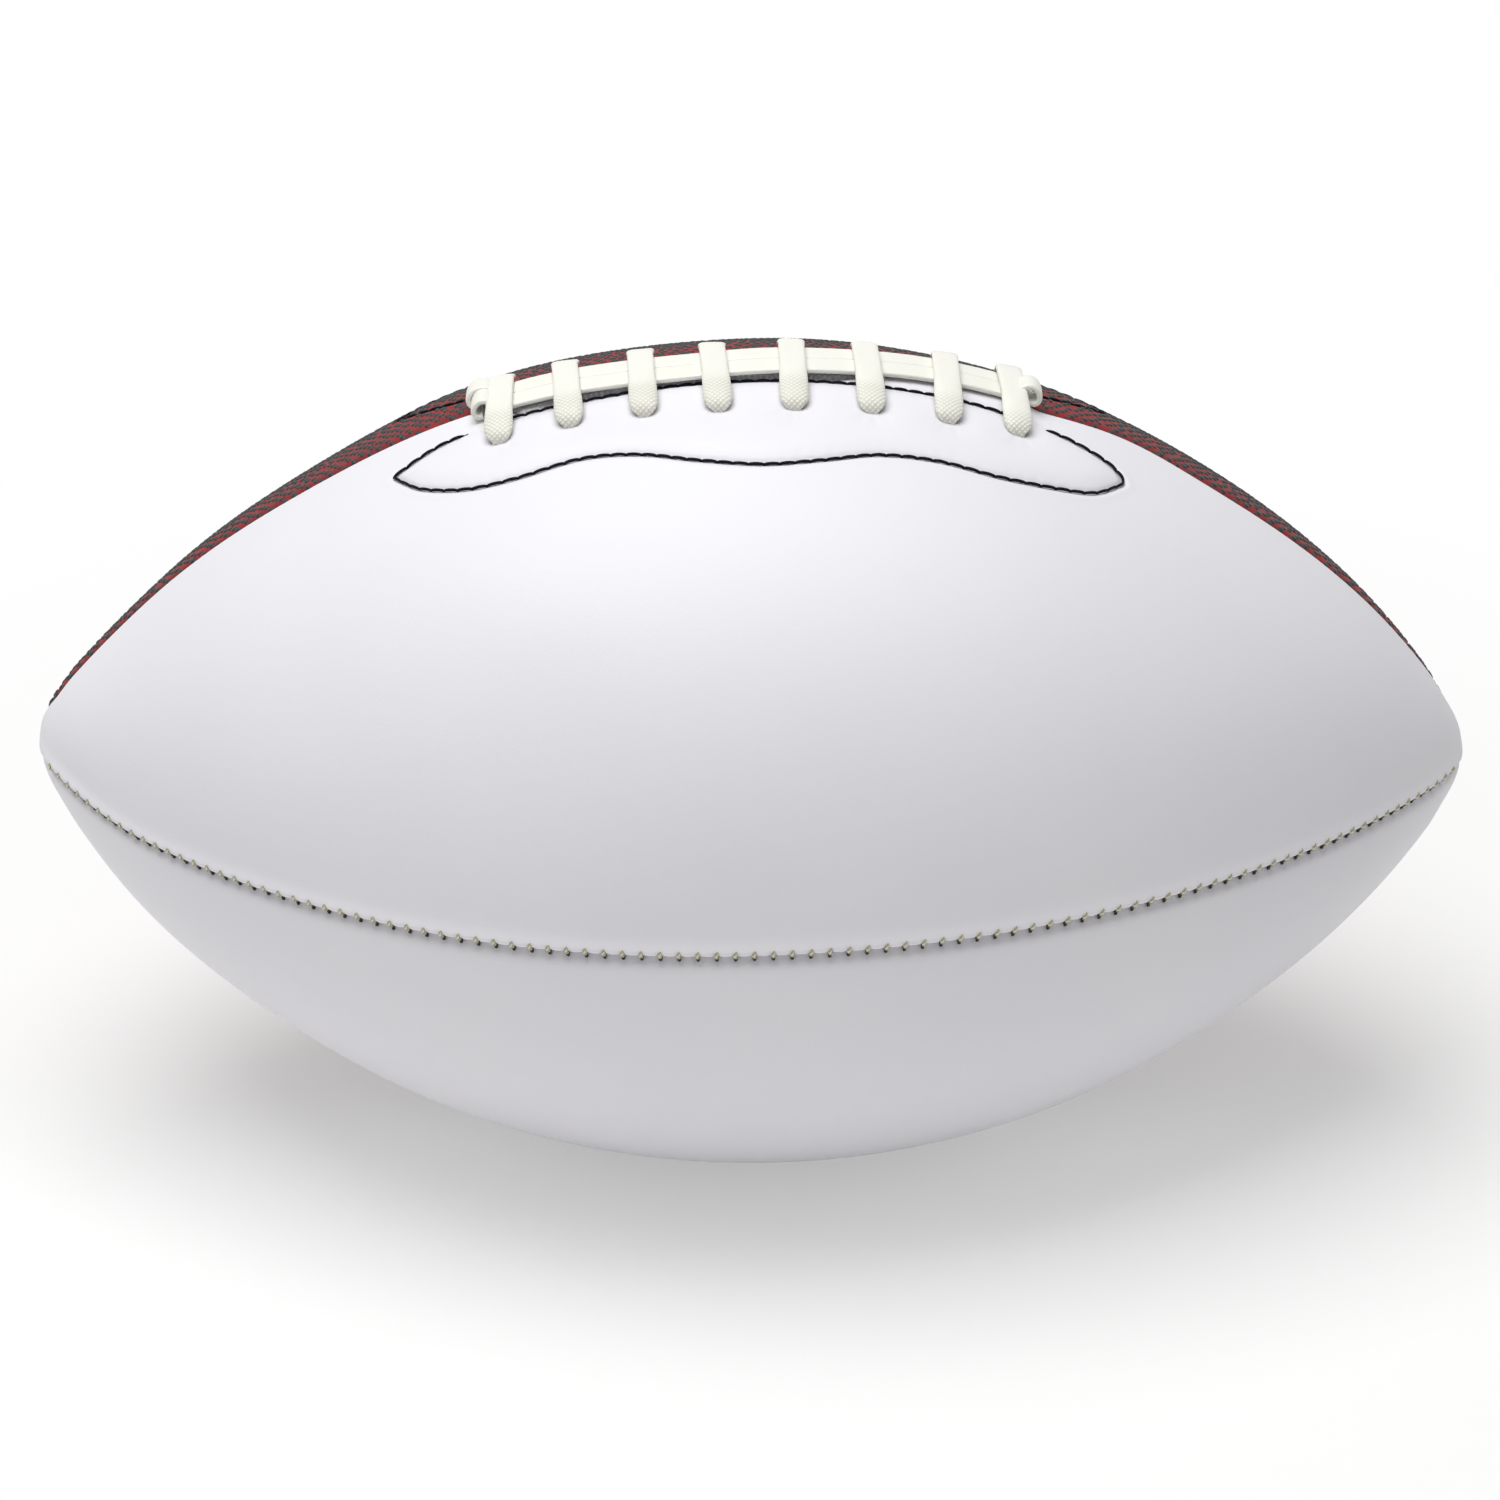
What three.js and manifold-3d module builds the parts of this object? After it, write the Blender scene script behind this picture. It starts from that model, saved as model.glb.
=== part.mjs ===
// An American football, put together as a real one is: four sewn panels with their linings, stitched
// patches beside a laced slit, a tongue under the lace, and a bladder with its needle valve.
// Millimetres. +X runs along the ball, +Z points up through the lace, and the ball rests at the origin.
import * as THREE from "three";
import { mergeVertices } from "three/addons/utils/BufferGeometryUtils.js";
import Module from "manifold-3d";

const wasm = await Module();
wasm.setup();

// Ball
const BALL_LENGTH = 280;
const GIRTH_DIAMETER = 162.6;
const TIP_RADIUS = 18.8;
const TIP_HOLE_RADIUS = 1.2; // where the four panel points meet
const CONTACT_FLAT = 0.6; // how deep the underside is pressed flat where the ball rests
const CLEARANCE = 0.3; // between pieces that touch on the real ball

// Panels and linings
const PANEL_THICKNESS = 2;
const SEAM_GAP = 0.3; // between the crowns of two neighbouring panels
const CROWN_WIDTH = 1.15; // rounding of a panel's edge beside the seam
const CROWN_DEPTH = 1;
const TURNED_EDGE_THICKNESS = 1.6; // seam allowance, turned inwards and skived
const TURNED_EDGE_REACH = 4; // below the panel's inner face
const HEM_REACH = 0.6; // the same along the slit, where the edge is only hemmed
const LINING_THICKNESS = 1;
const LINING_ROOM = 0.45; // between a panel and its lining
const SEAM_THREAD_DIAMETER = 0.7;

// Lace and slit
const LACE_BARS = 8;
const LACE_PITCH = 14.1;
const LACE_WIDTH = 5.4;
const LACE_THICKNESS = 1.25;
const LACE_GAP = 0.5; // least room between one stretch of lace and another
const HOLE_ROW_OFFSET = 15.3; // from the slit's middle, along the surface
const HOLE_ROOM = 0.4; // round the lace in its hole
const STRAND_LIFT = 1.3; // underside of the two long strands above the ball, halfway along
const CURL_RADIUS = 1.5; // where a strand's end turns under itself
const CURL_OVERHANG = 4.6; // from the last bar's middle to the middle of the curl
const SLIT_HALF_WIDTH = 4.2;
const SLIT_TAPER = 4;
const SLIT_SETBACK = 1.5; // how far the slit runs on in the layers below the panels

// Patches beside the slit, each held by a line of stitching
const PATCH_THICKNESS = 1.2;
const PATCH_MARGIN = 2.5; // patch beyond its stitching
const STITCH_DIAMETER = 0.8;
const STITCH_TOP_OFFSET = 6.4; // upper run of stitching, from the slit's middle
const STITCH_LOW_OFFSET = 26.4; // lower run, away from the middle hump
const STITCH_HUMP_HEIGHT = 4.8;
const STITCH_HUMP_WIDTH = 14;
const STITCH_TIP_X = 69;
const STITCH_TIP_OFFSET = 14;
const STITCH_NOSE_LENGTH = 20; // lower run's bend towards the tip
const STITCH_BROW_LENGTH = 11; // upper run's bend towards the tip

// Tongue, bladder and valve
const TONGUE_THICKNESS = 1.2;
const TONGUE_MARGIN = 4; // beyond the rows of holes
const BLADDER_WALL = 0.9;
const BLADDER_TIP_ROOM = 8.5; // bladder below the ball's tip
const VALVE_ANGLE = THREE.MathUtils.degToRad(225); // round the ball from the lace, front first
const VALVE_NECK_RADIUS = 3.6;
const VALVE_BORE_RADIUS = 2.1;
const VALVE_FLANGE_RADIUS = 8;
const VALVE_FLANGE_THICKNESS = 1.2;
const VALVE_LENGTH = 12;
const VALVE_RECESS = 0.4; // valve face below the panel
const NEEDLE_HOLE_RADIUS = 0.8;
const NEEDLE_HOLE_DEPTH = 9;

// How finely the round forms are faceted
const ARC_STEPS = 7; // round a quarter of the ball
const BLADDER_ARC_STEPS = 5;
const SLIT_ROWS = 4;
const FLANK_ROWS = 6;
const TIP_ROWS = 3;
const ROUND_SIDES = 16;
const THREAD_SIDES = 4;

// Sizes that follow from those above
const GIRTH_RADIUS = GIRTH_DIAMETER / 2;
const HALF_LENGTH = BALL_LENGTH / 2;
const AXIS_HEIGHT = GIRTH_RADIUS - CONTACT_FLAT;
const QUARTER = Math.PI / 2;
const FACET_SAG = GIRTH_RADIUS * (1 - Math.cos(QUARTER / ARC_STEPS / 2));
const THREAD_ROOM = SEAM_THREAD_DIAMETER / 2 + CLEARANCE - SEAM_GAP / 2;
const LAST_BAR_X = ((LACE_BARS - 1) / 2) * LACE_PITCH;
const CURL_X = LAST_BAR_X + CURL_OVERHANG;
const SLIT_STRAIGHT_X = CURL_X + CURL_RADIUS;
const SLIT_END_X = SLIT_STRAIGHT_X + SLIT_TAPER;
const STRAND_OFFSET = (LACE_WIDTH + LACE_GAP) / 2;

// Depths below the ball's surface
const LINING_TOP = PANEL_THICKNESS + LINING_ROOM;
const LINING_BOTTOM = LINING_TOP + LINING_THICKNESS;
const PATCH_TOP = LINING_BOTTOM + CLEARANCE;
const PATCH_BOTTOM = PATCH_TOP + PATCH_THICKNESS;
const LACE_DEPTH = PATCH_BOTTOM + FACET_SAG + CURL_RADIUS;
const TONGUE_TOP = LACE_DEPTH + LACE_THICKNESS / 2 + CLEARANCE;
const TONGUE_BOTTOM = TONGUE_TOP + TONGUE_THICKNESS;
const TURNED_EDGE_DEPTH = PANEL_THICKNESS + TURNED_EDGE_REACH;

// The ball's side view is one flank arc that runs smoothly into a small arc at each tip.
const TIP_CENTRE_X = HALF_LENGTH - TIP_RADIUS;
const FLANK_RADIUS =
  (TIP_CENTRE_X ** 2 + GIRTH_RADIUS ** 2 - TIP_RADIUS ** 2) / (2 * (GIRTH_RADIUS - TIP_RADIUS));
const FLANK_CENTRE_R = GIRTH_RADIUS - FLANK_RADIUS;
const JOIN_ANGLE = Math.atan2(-FLANK_CENTRE_R, TIP_CENTRE_X); // from the long axis

// A place on the side view: x, radius, and the outward normal in x and radius.
function flankAt(x) {
  const rise = Math.sqrt(FLANK_RADIUS ** 2 - x ** 2);
  return { x, r: FLANK_CENTRE_R + rise, nx: x / FLANK_RADIUS, nr: rise / FLANK_RADIUS };
}

function tipAt(angle, side) {
  const nx = side * Math.cos(angle);
  const nr = Math.sin(angle);
  return { x: side * TIP_CENTRE_X + TIP_RADIUS * nx, r: TIP_RADIUS * nr, nx, nr };
}

// Rows of places along the ball from one tip to the other, with some at the slit's ends.
function ballRows() {
  const side = [];
  for (let i = 1; i <= SLIT_ROWS; i++) side.push(flankAt((SLIT_STRAIGHT_X * i) / SLIT_ROWS));
  const slitEndAngle = Math.acos(SLIT_END_X / FLANK_RADIUS);
  for (let i = 0; i <= FLANK_ROWS; i++) {
    const angle = THREE.MathUtils.lerp(slitEndAngle, JOIN_ANGLE, i / FLANK_ROWS);
    side.push(flankAt(FLANK_RADIUS * Math.cos(angle)));
  }
  const lastAngle = Math.asin(TIP_HOLE_RADIUS / TIP_RADIUS);
  for (let i = 1; i <= TIP_ROWS; i++) {
    side.push(tipAt(THREE.MathUtils.lerp(JOIN_ANGLE, lastAngle, i / TIP_ROWS), 1));
  }
  const otherSide = side.map((p) => ({ ...p, x: -p.x, nx: -p.nx })).reverse();
  return [...otherSide, flankAt(0), ...side];
}

const ROWS = ballRows();
const MIDDLE_ROW = (ROWS.length - 1) / 2;
const rowsFromSlitEnd = (i) => Math.abs(i - MIDDLE_ROW) - SLIT_ROWS - 1;
const SLIT_SPAN_ROWS = ROWS.filter((row, i) => rowsFromSlitEnd(i) <= 0);
// Linings and patches take every row along the slit and every other one beyond it. The bladder, which
// lies deeper, takes only every other one.
const LINING_ROWS = ROWS.filter((row, i) => rowsFromSlitEnd(i) <= 0 || rowsFromSlitEnd(i) % 2 === 0);
const BLADDER_ROWS = ROWS.filter((row, i) => row === ROWS[MIDDLE_ROW] || rowsFromSlitEnd(i) % 2 === 0);

// A point at a depth below a row, turned round the long axis from the top towards the front.
function pointAt(row, depth, turn) {
  const r = row.r - depth * row.nr;
  return new THREE.Vector3(row.x - depth * row.nx, -r * Math.sin(turn), r * Math.cos(turn));
}

// The turn from a seam's plane to a point that lies a width away from it. Near the tips, where there
// is no room for the full width, it closes up smoothly.
function turnFor(row, depth, width) {
  const r = row.r - depth * row.nr;
  const most = 0.65 * r;
  return Math.asin(width / Math.hypot(1, width / most) / r);
}

// Fills a ring with triangles, seen along the ring's own direction and turned as the ring runs.
function endFace(ring) {
  const normal = new THREE.Vector3();
  ring.forEach((point, i) => normal.add(point.clone().cross(ring[(i + 1) % ring.length])));
  normal.normalize();
  const right = ring[1].clone().sub(ring[0]).projectOnPlane(normal).normalize();
  const up = normal.clone().cross(right);
  const flat = ring.map((point) => new THREE.Vector2(point.dot(right), point.dot(up)));
  return THREE.ShapeUtils.triangulateShape(flat, []);
}

// Joins rings of points into one closed body, with an end face on the first and last ring unless the
// rings close into a loop.
function loft(rings, loops = false) {
  const count = rings[0].length;
  const positions = rings.flat().flatMap((point) => point.toArray());
  const index = [];
  const spans = loops ? rings.length : rings.length - 1;
  for (let k = 0; k < spans; k++) {
    const here = k * count;
    const next = ((k + 1) % rings.length) * count;
    for (let i = 0; i < count; i++) {
      const j = (i + 1) % count;
      index.push(here + i, here + j, next + j, here + i, next + j, next + i);
    }
  }
  if (!loops) {
    const last = (rings.length - 1) * count;
    for (const [a, b, c] of endFace(rings[0])) index.push(a, c, b);
    for (const [a, b, c] of endFace(rings.at(-1))) index.push(last + a, last + b, last + c);
  }
  const geometry = new THREE.BufferGeometry();
  geometry.setAttribute("position", new THREE.Float32BufferAttribute(positions, 3));
  geometry.setIndex(index);
  return facingOut(geometry);
}

// Turns a closed surface round if its faces point inwards.
function facingOut(geometry) {
  const index = geometry.index.array;
  const corner = (i) => new THREE.Vector3().fromBufferAttribute(geometry.attributes.position, index[i]);
  let volume = 0;
  for (let i = 0; i < index.length; i += 3) {
    volume += corner(i).dot(corner(i + 1).cross(corner(i + 2)));
  }
  if (volume < 0) {
    for (let i = 0; i < index.length; i += 3) {
      [index[i + 1], index[i + 2]] = [index[i + 2], index[i + 1]];
    }
  }
  return geometry;
}

const mirrored = (geometry) => facingOut(geometry.clone().scale(1, -1, 1));

// Cutting and joining
function solidOf(geometry) {
  const bare = geometry.clone();
  bare.deleteAttribute("normal");
  bare.deleteAttribute("uv");
  const merged = mergeVertices(bare, 1e-4);
  const vertProperties = new Float32Array(merged.attributes.position.array);
  const triVerts = new Uint32Array(merged.index.array);
  return new wasm.Manifold(new wasm.Mesh({ numProp: 3, vertProperties, triVerts }));
}

function geometryOf(solid) {
  const { vertProperties, triVerts } = solid.getMesh();
  const geometry = new THREE.BufferGeometry();
  geometry.setAttribute("position", new THREE.BufferAttribute(vertProperties.slice(), 3));
  geometry.setIndex(new THREE.BufferAttribute(triVerts.slice(), 1));
  return geometry;
}

function cut(geometry, ...tools) {
  return geometryOf(tools.reduce((solid, tool) => solid.subtract(solidOf(tool)), solidOf(geometry)));
}

const keptInside = (geometry, region) => geometryOf(solidOf(geometry).intersect(solidOf(region)));

// The two kinds of panel edge: a seam, or the slit with a seam beyond each of its ends.
const slitShare = (x) => 1 - THREE.MathUtils.smoothstep(Math.abs(x), SLIT_STRAIGHT_X, SLIT_END_X);
const seamEdge = { offset: () => SEAM_GAP / 2, depth: () => TURNED_EDGE_DEPTH };
const slitEdge = {
  offset: (x) => THREE.MathUtils.lerp(SEAM_GAP / 2, SLIT_HALF_WIDTH, slitShare(x)),
  depth: (x) => THREE.MathUtils.lerp(TURNED_EDGE_DEPTH, PANEL_THICKNESS + HEM_REACH, slitShare(x)),
};

// Depth and distance from the seam's plane, from the panel's crown round its turned edge.
function panelEdge(edge, row) {
  const face = edge.offset(row.x);
  const inner = face + THREAD_ROOM + TURNED_EDGE_THICKNESS;
  const depth = edge.depth(row.x);
  return [
    [0, face + CROWN_WIDTH],
    [0.3 * CROWN_DEPTH, face + 0.3 * CROWN_WIDTH],
    [CROWN_DEPTH, face],
    [CROWN_DEPTH + THREAD_ROOM, face + THREAD_ROOM],
    [depth, face + THREAD_ROOM],
    [depth, inner],
    [PANEL_THICKNESS, inner],
  ];
}

function layerEdge(edge, row, top, bottom) {
  const opening = edge.offset(Math.abs(row.x) - SLIT_SETBACK);
  const face = opening + THREAD_ROOM + TURNED_EDGE_THICKNESS + CLEARANCE;
  return [
    [top, face],
    [bottom, face],
  ];
}

// A ring round the section of a curved layer that spans a quarter of the ball, or the share of it that
// lies nearest to the first edge. Each edge is a list from the layer's outer face to its inner one.
function layerRing(row, start, firstEdge, secondEdge, steps = ARC_STEPS) {
  const first = firstEdge.map(([depth, width]) => [turnFor(row, depth, width), depth]);
  const second = secondEdge.map(([depth, width]) => [QUARTER - turnFor(row, depth, width), depth]);
  const along = (from, to, k) => [THREE.MathUtils.lerp(from[0], to[0], k / ARC_STEPS), from[1]];
  const inner = [];
  const outer = [];
  const lastStep = steps < ARC_STEPS ? steps : ARC_STEPS - 1;
  for (let k = 1; k <= lastStep; k++) {
    inner.push(along(first.at(-1), second.at(-1), k));
    outer.push(along(first[0], second[0], k));
  }
  const closing = steps < ARC_STEPS ? [] : second.reverse();
  const places = [...first, ...inner, ...closing, ...outer.reverse()];
  return places.map(([turn, depth]) => pointAt(row, depth, start + turn));
}

// Panels and linings. The back ones mirror the front ones.
const upperQuarter = { start: 0, first: slitEdge, second: seamEdge };
const lowerQuarter = { start: QUARTER, first: seamEdge, second: seamEdge };

function panel({ start, first, second }) {
  return loft(ROWS.map((row) => layerRing(row, start, panelEdge(first, row), panelEdge(second, row))));
}

function lining({ start, first, second }) {
  const rows = LINING_ROWS.filter((row) => row.r > TIP_RADIUS / 2);
  const edge = (side, row) => layerEdge(side, row, LINING_TOP, LINING_BOTTOM);
  return loft(rows.map((row) => layerRing(row, start, edge(first, row), edge(second, row))));
}

// Lace holes: one slot through panel, lining and patch for each end of a bar.
const barX = (i) => (i - (LACE_BARS - 1) / 2) * LACE_PITCH;

// A place near the surface: along the ball, along the surface from the top towards the front, and up.
function surfaceFrame(x, offset, height) {
  const row = flankAt(x);
  const turn = offset / row.r;
  const along = new THREE.Vector3(row.nr, 0, -row.nx);
  const out = new THREE.Vector3(row.nx, 0, row.nr);
  const across = new THREE.Vector3(0, -Math.cos(turn), -Math.sin(turn));
  const axis = new THREE.Vector3(1, 0, 0);
  along.applyAxisAngle(axis, turn);
  out.applyAxisAngle(axis, turn);
  return { point: pointAt(row, -height, turn), along, across, out };
}

function laceHoles() {
  const holes = [];
  const depth = 2 * (PATCH_BOTTOM + FACET_SAG + CLEARANCE);
  for (let i = 0; i < LACE_BARS; i++) {
    const { point, along, across, out } = surfaceFrame(barX(i), HOLE_ROW_OFFSET, 0);
    const hole = new THREE.BoxGeometry(LACE_THICKNESS + 2 * HOLE_ROOM, LACE_WIDTH + 2 * HOLE_ROOM, depth);
    holes.push(hole.applyMatrix4(new THREE.Matrix4().makeBasis(across, along, out).setPosition(point)));
  }
  return holes;
}

// The line of stitching round a patch, as places along the ball and along the surface from the top.
// With a margin it is the patch's own outline.
function stitchLine(margin) {
  const tipX = STITCH_TIP_X + margin;
  const noseX = STITCH_TIP_X - STITCH_NOSE_LENGTH;
  const browX = STITCH_TIP_X - STITCH_BROW_LENGTH;
  const hump = (x) => STITCH_HUMP_HEIGHT * Math.exp(-((x / STITCH_HUMP_WIDTH) ** 2));
  const low = (x) => STITCH_LOW_OFFSET + margin + hump(x);
  const lowSteps = 16;
  const noseSteps = 6;
  const browSteps = 4;
  const topSteps = 8;
  const half = [];
  for (let i = 0; i <= topSteps / 2; i++) {
    half.push(new THREE.Vector2((browX * i) / (topSteps / 2), STITCH_TOP_OFFSET));
  }
  for (let i = 1; i <= browSteps; i++) {
    const angle = (QUARTER * i) / browSteps;
    const rise = STITCH_TIP_OFFSET - STITCH_TOP_OFFSET;
    half.push(
      new THREE.Vector2(
        browX + (tipX - browX) * Math.sin(angle),
        STITCH_TOP_OFFSET + rise * (1 - Math.cos(angle)),
      ),
    );
  }
  for (let i = 1; i <= noseSteps; i++) {
    const angle = (QUARTER * i) / noseSteps;
    const rise = low(noseX) - STITCH_TIP_OFFSET;
    half.push(
      new THREE.Vector2(
        noseX + (tipX - noseX) * Math.cos(angle),
        STITCH_TIP_OFFSET + rise * Math.sin(angle),
      ),
    );
  }
  for (let i = 1; i < lowSteps / 2; i++) {
    const x = noseX * (1 - i / (lowSteps / 2));
    half.push(new THREE.Vector2(x, low(x)));
  }
  const other = half.slice(1).map((p) => new THREE.Vector2(-p.x, p.y)).reverse();
  return [...half, new THREE.Vector2(0, low(0)), ...other];
}

function lacePatch() {
  const widest = STITCH_LOW_OFFSET + STITCH_HUMP_HEIGHT + PATCH_MARGIN;
  const share = Math.ceil((ARC_STEPS * widest) / (QUARTER * GIRTH_RADIUS));
  const reach = LINING_ROWS.findIndex((row) => row.x > STITCH_TIP_X + PATCH_MARGIN);
  const rows = LINING_ROWS.slice(LINING_ROWS.length - 1 - reach, reach + 1);
  const edge = (side, row) => layerEdge(side, row, PATCH_TOP, PATCH_BOTTOM);
  const layer = loft(
    rows.map((row) => layerRing(row, 0, edge(slitEdge, row), edge(seamEdge, row), share)),
  );
  const outline = stitchLine(PATCH_MARGIN).map(({ x, y: offset }) => {
    const { r } = flankAt(x);
    return new THREE.Vector2(x, -r * Math.sin(offset / r));
  });
  const upright = { depth: GIRTH_RADIUS, bevelEnabled: false };
  return keptInside(layer, new THREE.ExtrudeGeometry(new THREE.Shape(outline), upright));
}

// A ring across a cord or strip, with its width and thickness along two directions.
function sectionRing(point, across, up, section) {
  return section.map(({ x, y }) => point.clone().addScaledVector(across, x).addScaledVector(up, y));
}

function roundSection(diameter) {
  const section = [];
  for (let i = 0; i < THREAD_SIDES; i++) {
    const angle = (2 * Math.PI * (i + 0.5)) / THREAD_SIDES;
    section.push(new THREE.Vector2(Math.cos(angle), Math.sin(angle)).multiplyScalar(diameter / 2));
  }
  return section;
}

function patchStitching() {
  const line = stitchLine(0).map(({ x, y }) => surfaceFrame(x, y, CLEARANCE + STITCH_DIAMETER / 2));
  const section = roundSection(STITCH_DIAMETER);
  const rings = line.map(({ point, out }, i) => {
    const before = line.at(i - 1).point;
    const after = line[(i + 1) % line.length].point;
    const across = after.clone().sub(before).cross(out).normalize();
    return sectionRing(point, across, out, section);
  });
  return loft(rings, true);
}

// Seam threads lie between the turned edges of two panels, just below their crowns.
function seamThread(turn, rows) {
  const depth = CROWN_DEPTH + THREAD_ROOM + CLEARANCE + SEAM_THREAD_DIAMETER / 2;
  const section = roundSection(SEAM_THREAD_DIAMETER);
  const across = new THREE.Vector3(0, -Math.cos(turn), -Math.sin(turn));
  const rings = rows.map((row) => {
    const out = new THREE.Vector3(row.nx, -row.nr * Math.sin(turn), row.nr * Math.cos(turn));
    return sectionRing(pointAt(row, depth, turn), across, out, section);
  });
  return loft(rings);
}

// The lace: one strip that runs along the ball as the front strand, dives into the slit, comes up
// through the holes as one bar after another, and comes out again as the back strand.
const BOTTOM_ARM = CLEARANCE + LACE_THICKNESS / 2;
const TOP_ARM = BOTTOM_ARM + 2 * CURL_RADIUS;
const STRAND_MIDDLE = STRAND_LIFT + LACE_THICKNESS / 2;
const strandHeight = (x) => THREE.MathUtils.lerp(STRAND_MIDDLE, TOP_ARM, (x / CURL_X) ** 2);
const barHeight = (x) => strandHeight(x) + LACE_THICKNESS + LACE_GAP;
const FLAT_ACROSS = 0; // strip's width across the ball
const FLAT_ALONG = QUARTER; // strip's width along the ball

// From the tail under the left curl, along the front strand, to the foot of the last bar's front hole.
function strandRoute() {
  const offset = STRAND_OFFSET;
  const route = [];
  const middle = (BOTTOM_ARM + TOP_ARM) / 2;
  const curl = (x, angle) => {
    const turn = THREE.MathUtils.degToRad(angle);
    const height = middle + CURL_RADIUS * Math.sin(turn);
    route.push([x + CURL_RADIUS * Math.cos(turn), offset, height, FLAT_ACROSS]);
  };
  for (const angle of [235, 205, 175, 145, 115]) curl(-CURL_X, angle);
  const runSteps = 12;
  for (let i = 0; i <= runSteps; i++) {
    const x = THREE.MathUtils.lerp(-CURL_X, CURL_X, i / runSteps);
    route.push([x, offset, strandHeight(x), FLAT_ACROSS]);
  }
  for (const angle of [60, 30, 0, -30, -60, -90]) curl(CURL_X, angle);
  const slitOffset = SLIT_HALF_WIDTH - LACE_WIDTH / 2 - CLEARANCE;
  const diveX = CURL_X - 2 * CURL_RADIUS;
  const foot = LACE_DEPTH - CURL_RADIUS;
  const drift = THREE.MathUtils.lerp(offset, slitOffset, 0.6);
  route.push([diveX + 0.6 * CURL_RADIUS, drift, BOTTOM_ARM, FLAT_ACROSS]);
  route.push([diveX + 0.15 * CURL_RADIUS, slitOffset, BOTTOM_ARM / 2, FLAT_ACROSS]);
  const twistSteps = 4;
  for (let i = 0; i <= twistSteps; i++) {
    route.push([diveX, slitOffset, -foot * (i / twistSteps), FLAT_ALONG * (i / twistSteps)]);
  }
  route.push([diveX, slitOffset + 0.5 * CURL_RADIUS, -LACE_DEPTH + 0.2 * CURL_RADIUS, FLAT_ALONG]);
  route.push([diveX, slitOffset + 1.5 * CURL_RADIUS, -LACE_DEPTH, FLAT_ALONG]);
  return route;
}

// One bar: up through the front hole, over the two strands and down through the back hole.
function barRoute(x) {
  const top = barHeight(x);
  const strandEdge = STRAND_OFFSET + LACE_WIDTH / 2;
  const half = [
    [HOLE_ROW_OFFSET - CURL_RADIUS, -LACE_DEPTH],
    [HOLE_ROW_OFFSET - 0.3 * CURL_RADIUS, -LACE_DEPTH + 0.3 * CURL_RADIUS],
    [HOLE_ROW_OFFSET, -LACE_DEPTH + CURL_RADIUS],
    [HOLE_ROW_OFFSET, BOTTOM_ARM],
    [HOLE_ROW_OFFSET - 0.5 * CURL_RADIUS, 0.5 * top],
    [THREE.MathUtils.lerp(HOLE_ROW_OFFSET, strandEdge, 0.35), 0.78 * top],
    [strandEdge, top],
    [0.5 * strandEdge, top],
  ];
  const front = half.map(([offset, height]) => [x, offset, height, FLAT_ALONG]);
  const back = half.map(([offset, height]) => [x, -offset, height, FLAT_ALONG]).reverse();
  return [...front, ...back];
}

// Inside the ball, from the back hole of one bar to the front hole of the next.
function crossingRoute(fromX, toX) {
  const steps = 4;
  const reach = HOLE_ROW_OFFSET - CURL_RADIUS;
  const route = [];
  for (let k = 1; k < steps; k++) {
    const x = THREE.MathUtils.lerp(fromX, toX, k / steps);
    route.push([x, THREE.MathUtils.lerp(-reach, reach, k / steps), -LACE_DEPTH, FLAT_ALONG]);
  }
  return route;
}

function laceRoute() {
  const first = strandRoute();
  const last = first.map(([x, offset, height, twist]) => [-x, -offset, height, twist]).reverse();
  const bars = barRoute(barX(LACE_BARS - 1));
  for (let i = LACE_BARS - 2; i >= 0; i--) {
    bars.push(...crossingRoute(barX(i + 1), barX(i)), ...barRoute(barX(i)));
  }
  return [...first, ...bars, ...last];
}

function lace() {
  const side = 0.72 * LACE_WIDTH;
  const section = [
    [LACE_WIDTH, 0],
    [side, LACE_THICKNESS],
    [-side, LACE_THICKNESS],
    [-LACE_WIDTH, 0],
    [-side, -LACE_THICKNESS],
    [side, -LACE_THICKNESS],
  ].map(([x, y]) => new THREE.Vector2(x / 2, y / 2));
  const route = laceRoute().map(([x, offset, height, twist]) => {
    const { point, along, across } = surfaceFrame(x, offset, height);
    const wide = across.multiplyScalar(Math.cos(twist)).addScaledVector(along, Math.sin(twist));
    return { point, wide };
  });
  const rings = route.map(({ point, wide }, i) => {
    const before = route[Math.max(i - 1, 0)].point;
    const after = route[Math.min(i + 1, route.length - 1)].point;
    const travel = after.clone().sub(before).normalize();
    const up = travel.clone().cross(wide).normalize();
    return sectionRing(point, up.clone().cross(travel), up, section);
  });
  console.log(`least gap of the lace to itself: ${leastGap(rings).toFixed(2)} mm`);
  return loft(rings);
}

// The least distance between points on stretches of a strip that aren't next to each other.
function leastGap(rings) {
  const apart = 6;
  const points = rings.map((ring) =>
    ring.flatMap((p, i) => [p, p.clone().lerp(ring[(i + 1) % ring.length], 0.5)]),
  );
  let least = Infinity;
  for (let i = 0; i < points.length; i++) {
    for (let j = i + apart; j < points.length; j++) {
      for (const p of points[i]) for (const q of points[j]) least = Math.min(least, p.distanceTo(q));
    }
  }
  return least;
}

// The tongue lies under the lace and keeps it off the bladder.
function tongue() {
  const steps = 4;
  const halfWidth = HOLE_ROW_OFFSET + TONGUE_MARGIN;
  const rings = SLIT_SPAN_ROWS.map((row) => {
    const turnAt = (k) => (halfWidth / row.r) * ((2 * k) / steps - 1);
    const ring = [];
    for (let k = 0; k <= steps; k++) ring.push([turnAt(k), TONGUE_TOP]);
    for (let k = steps; k >= 0; k--) ring.push([turnAt(k), TONGUE_BOTTOM]);
    return ring.map(([turn, depth]) => pointAt(row, depth, turn));
  });
  return loft(rings);
}

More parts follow.
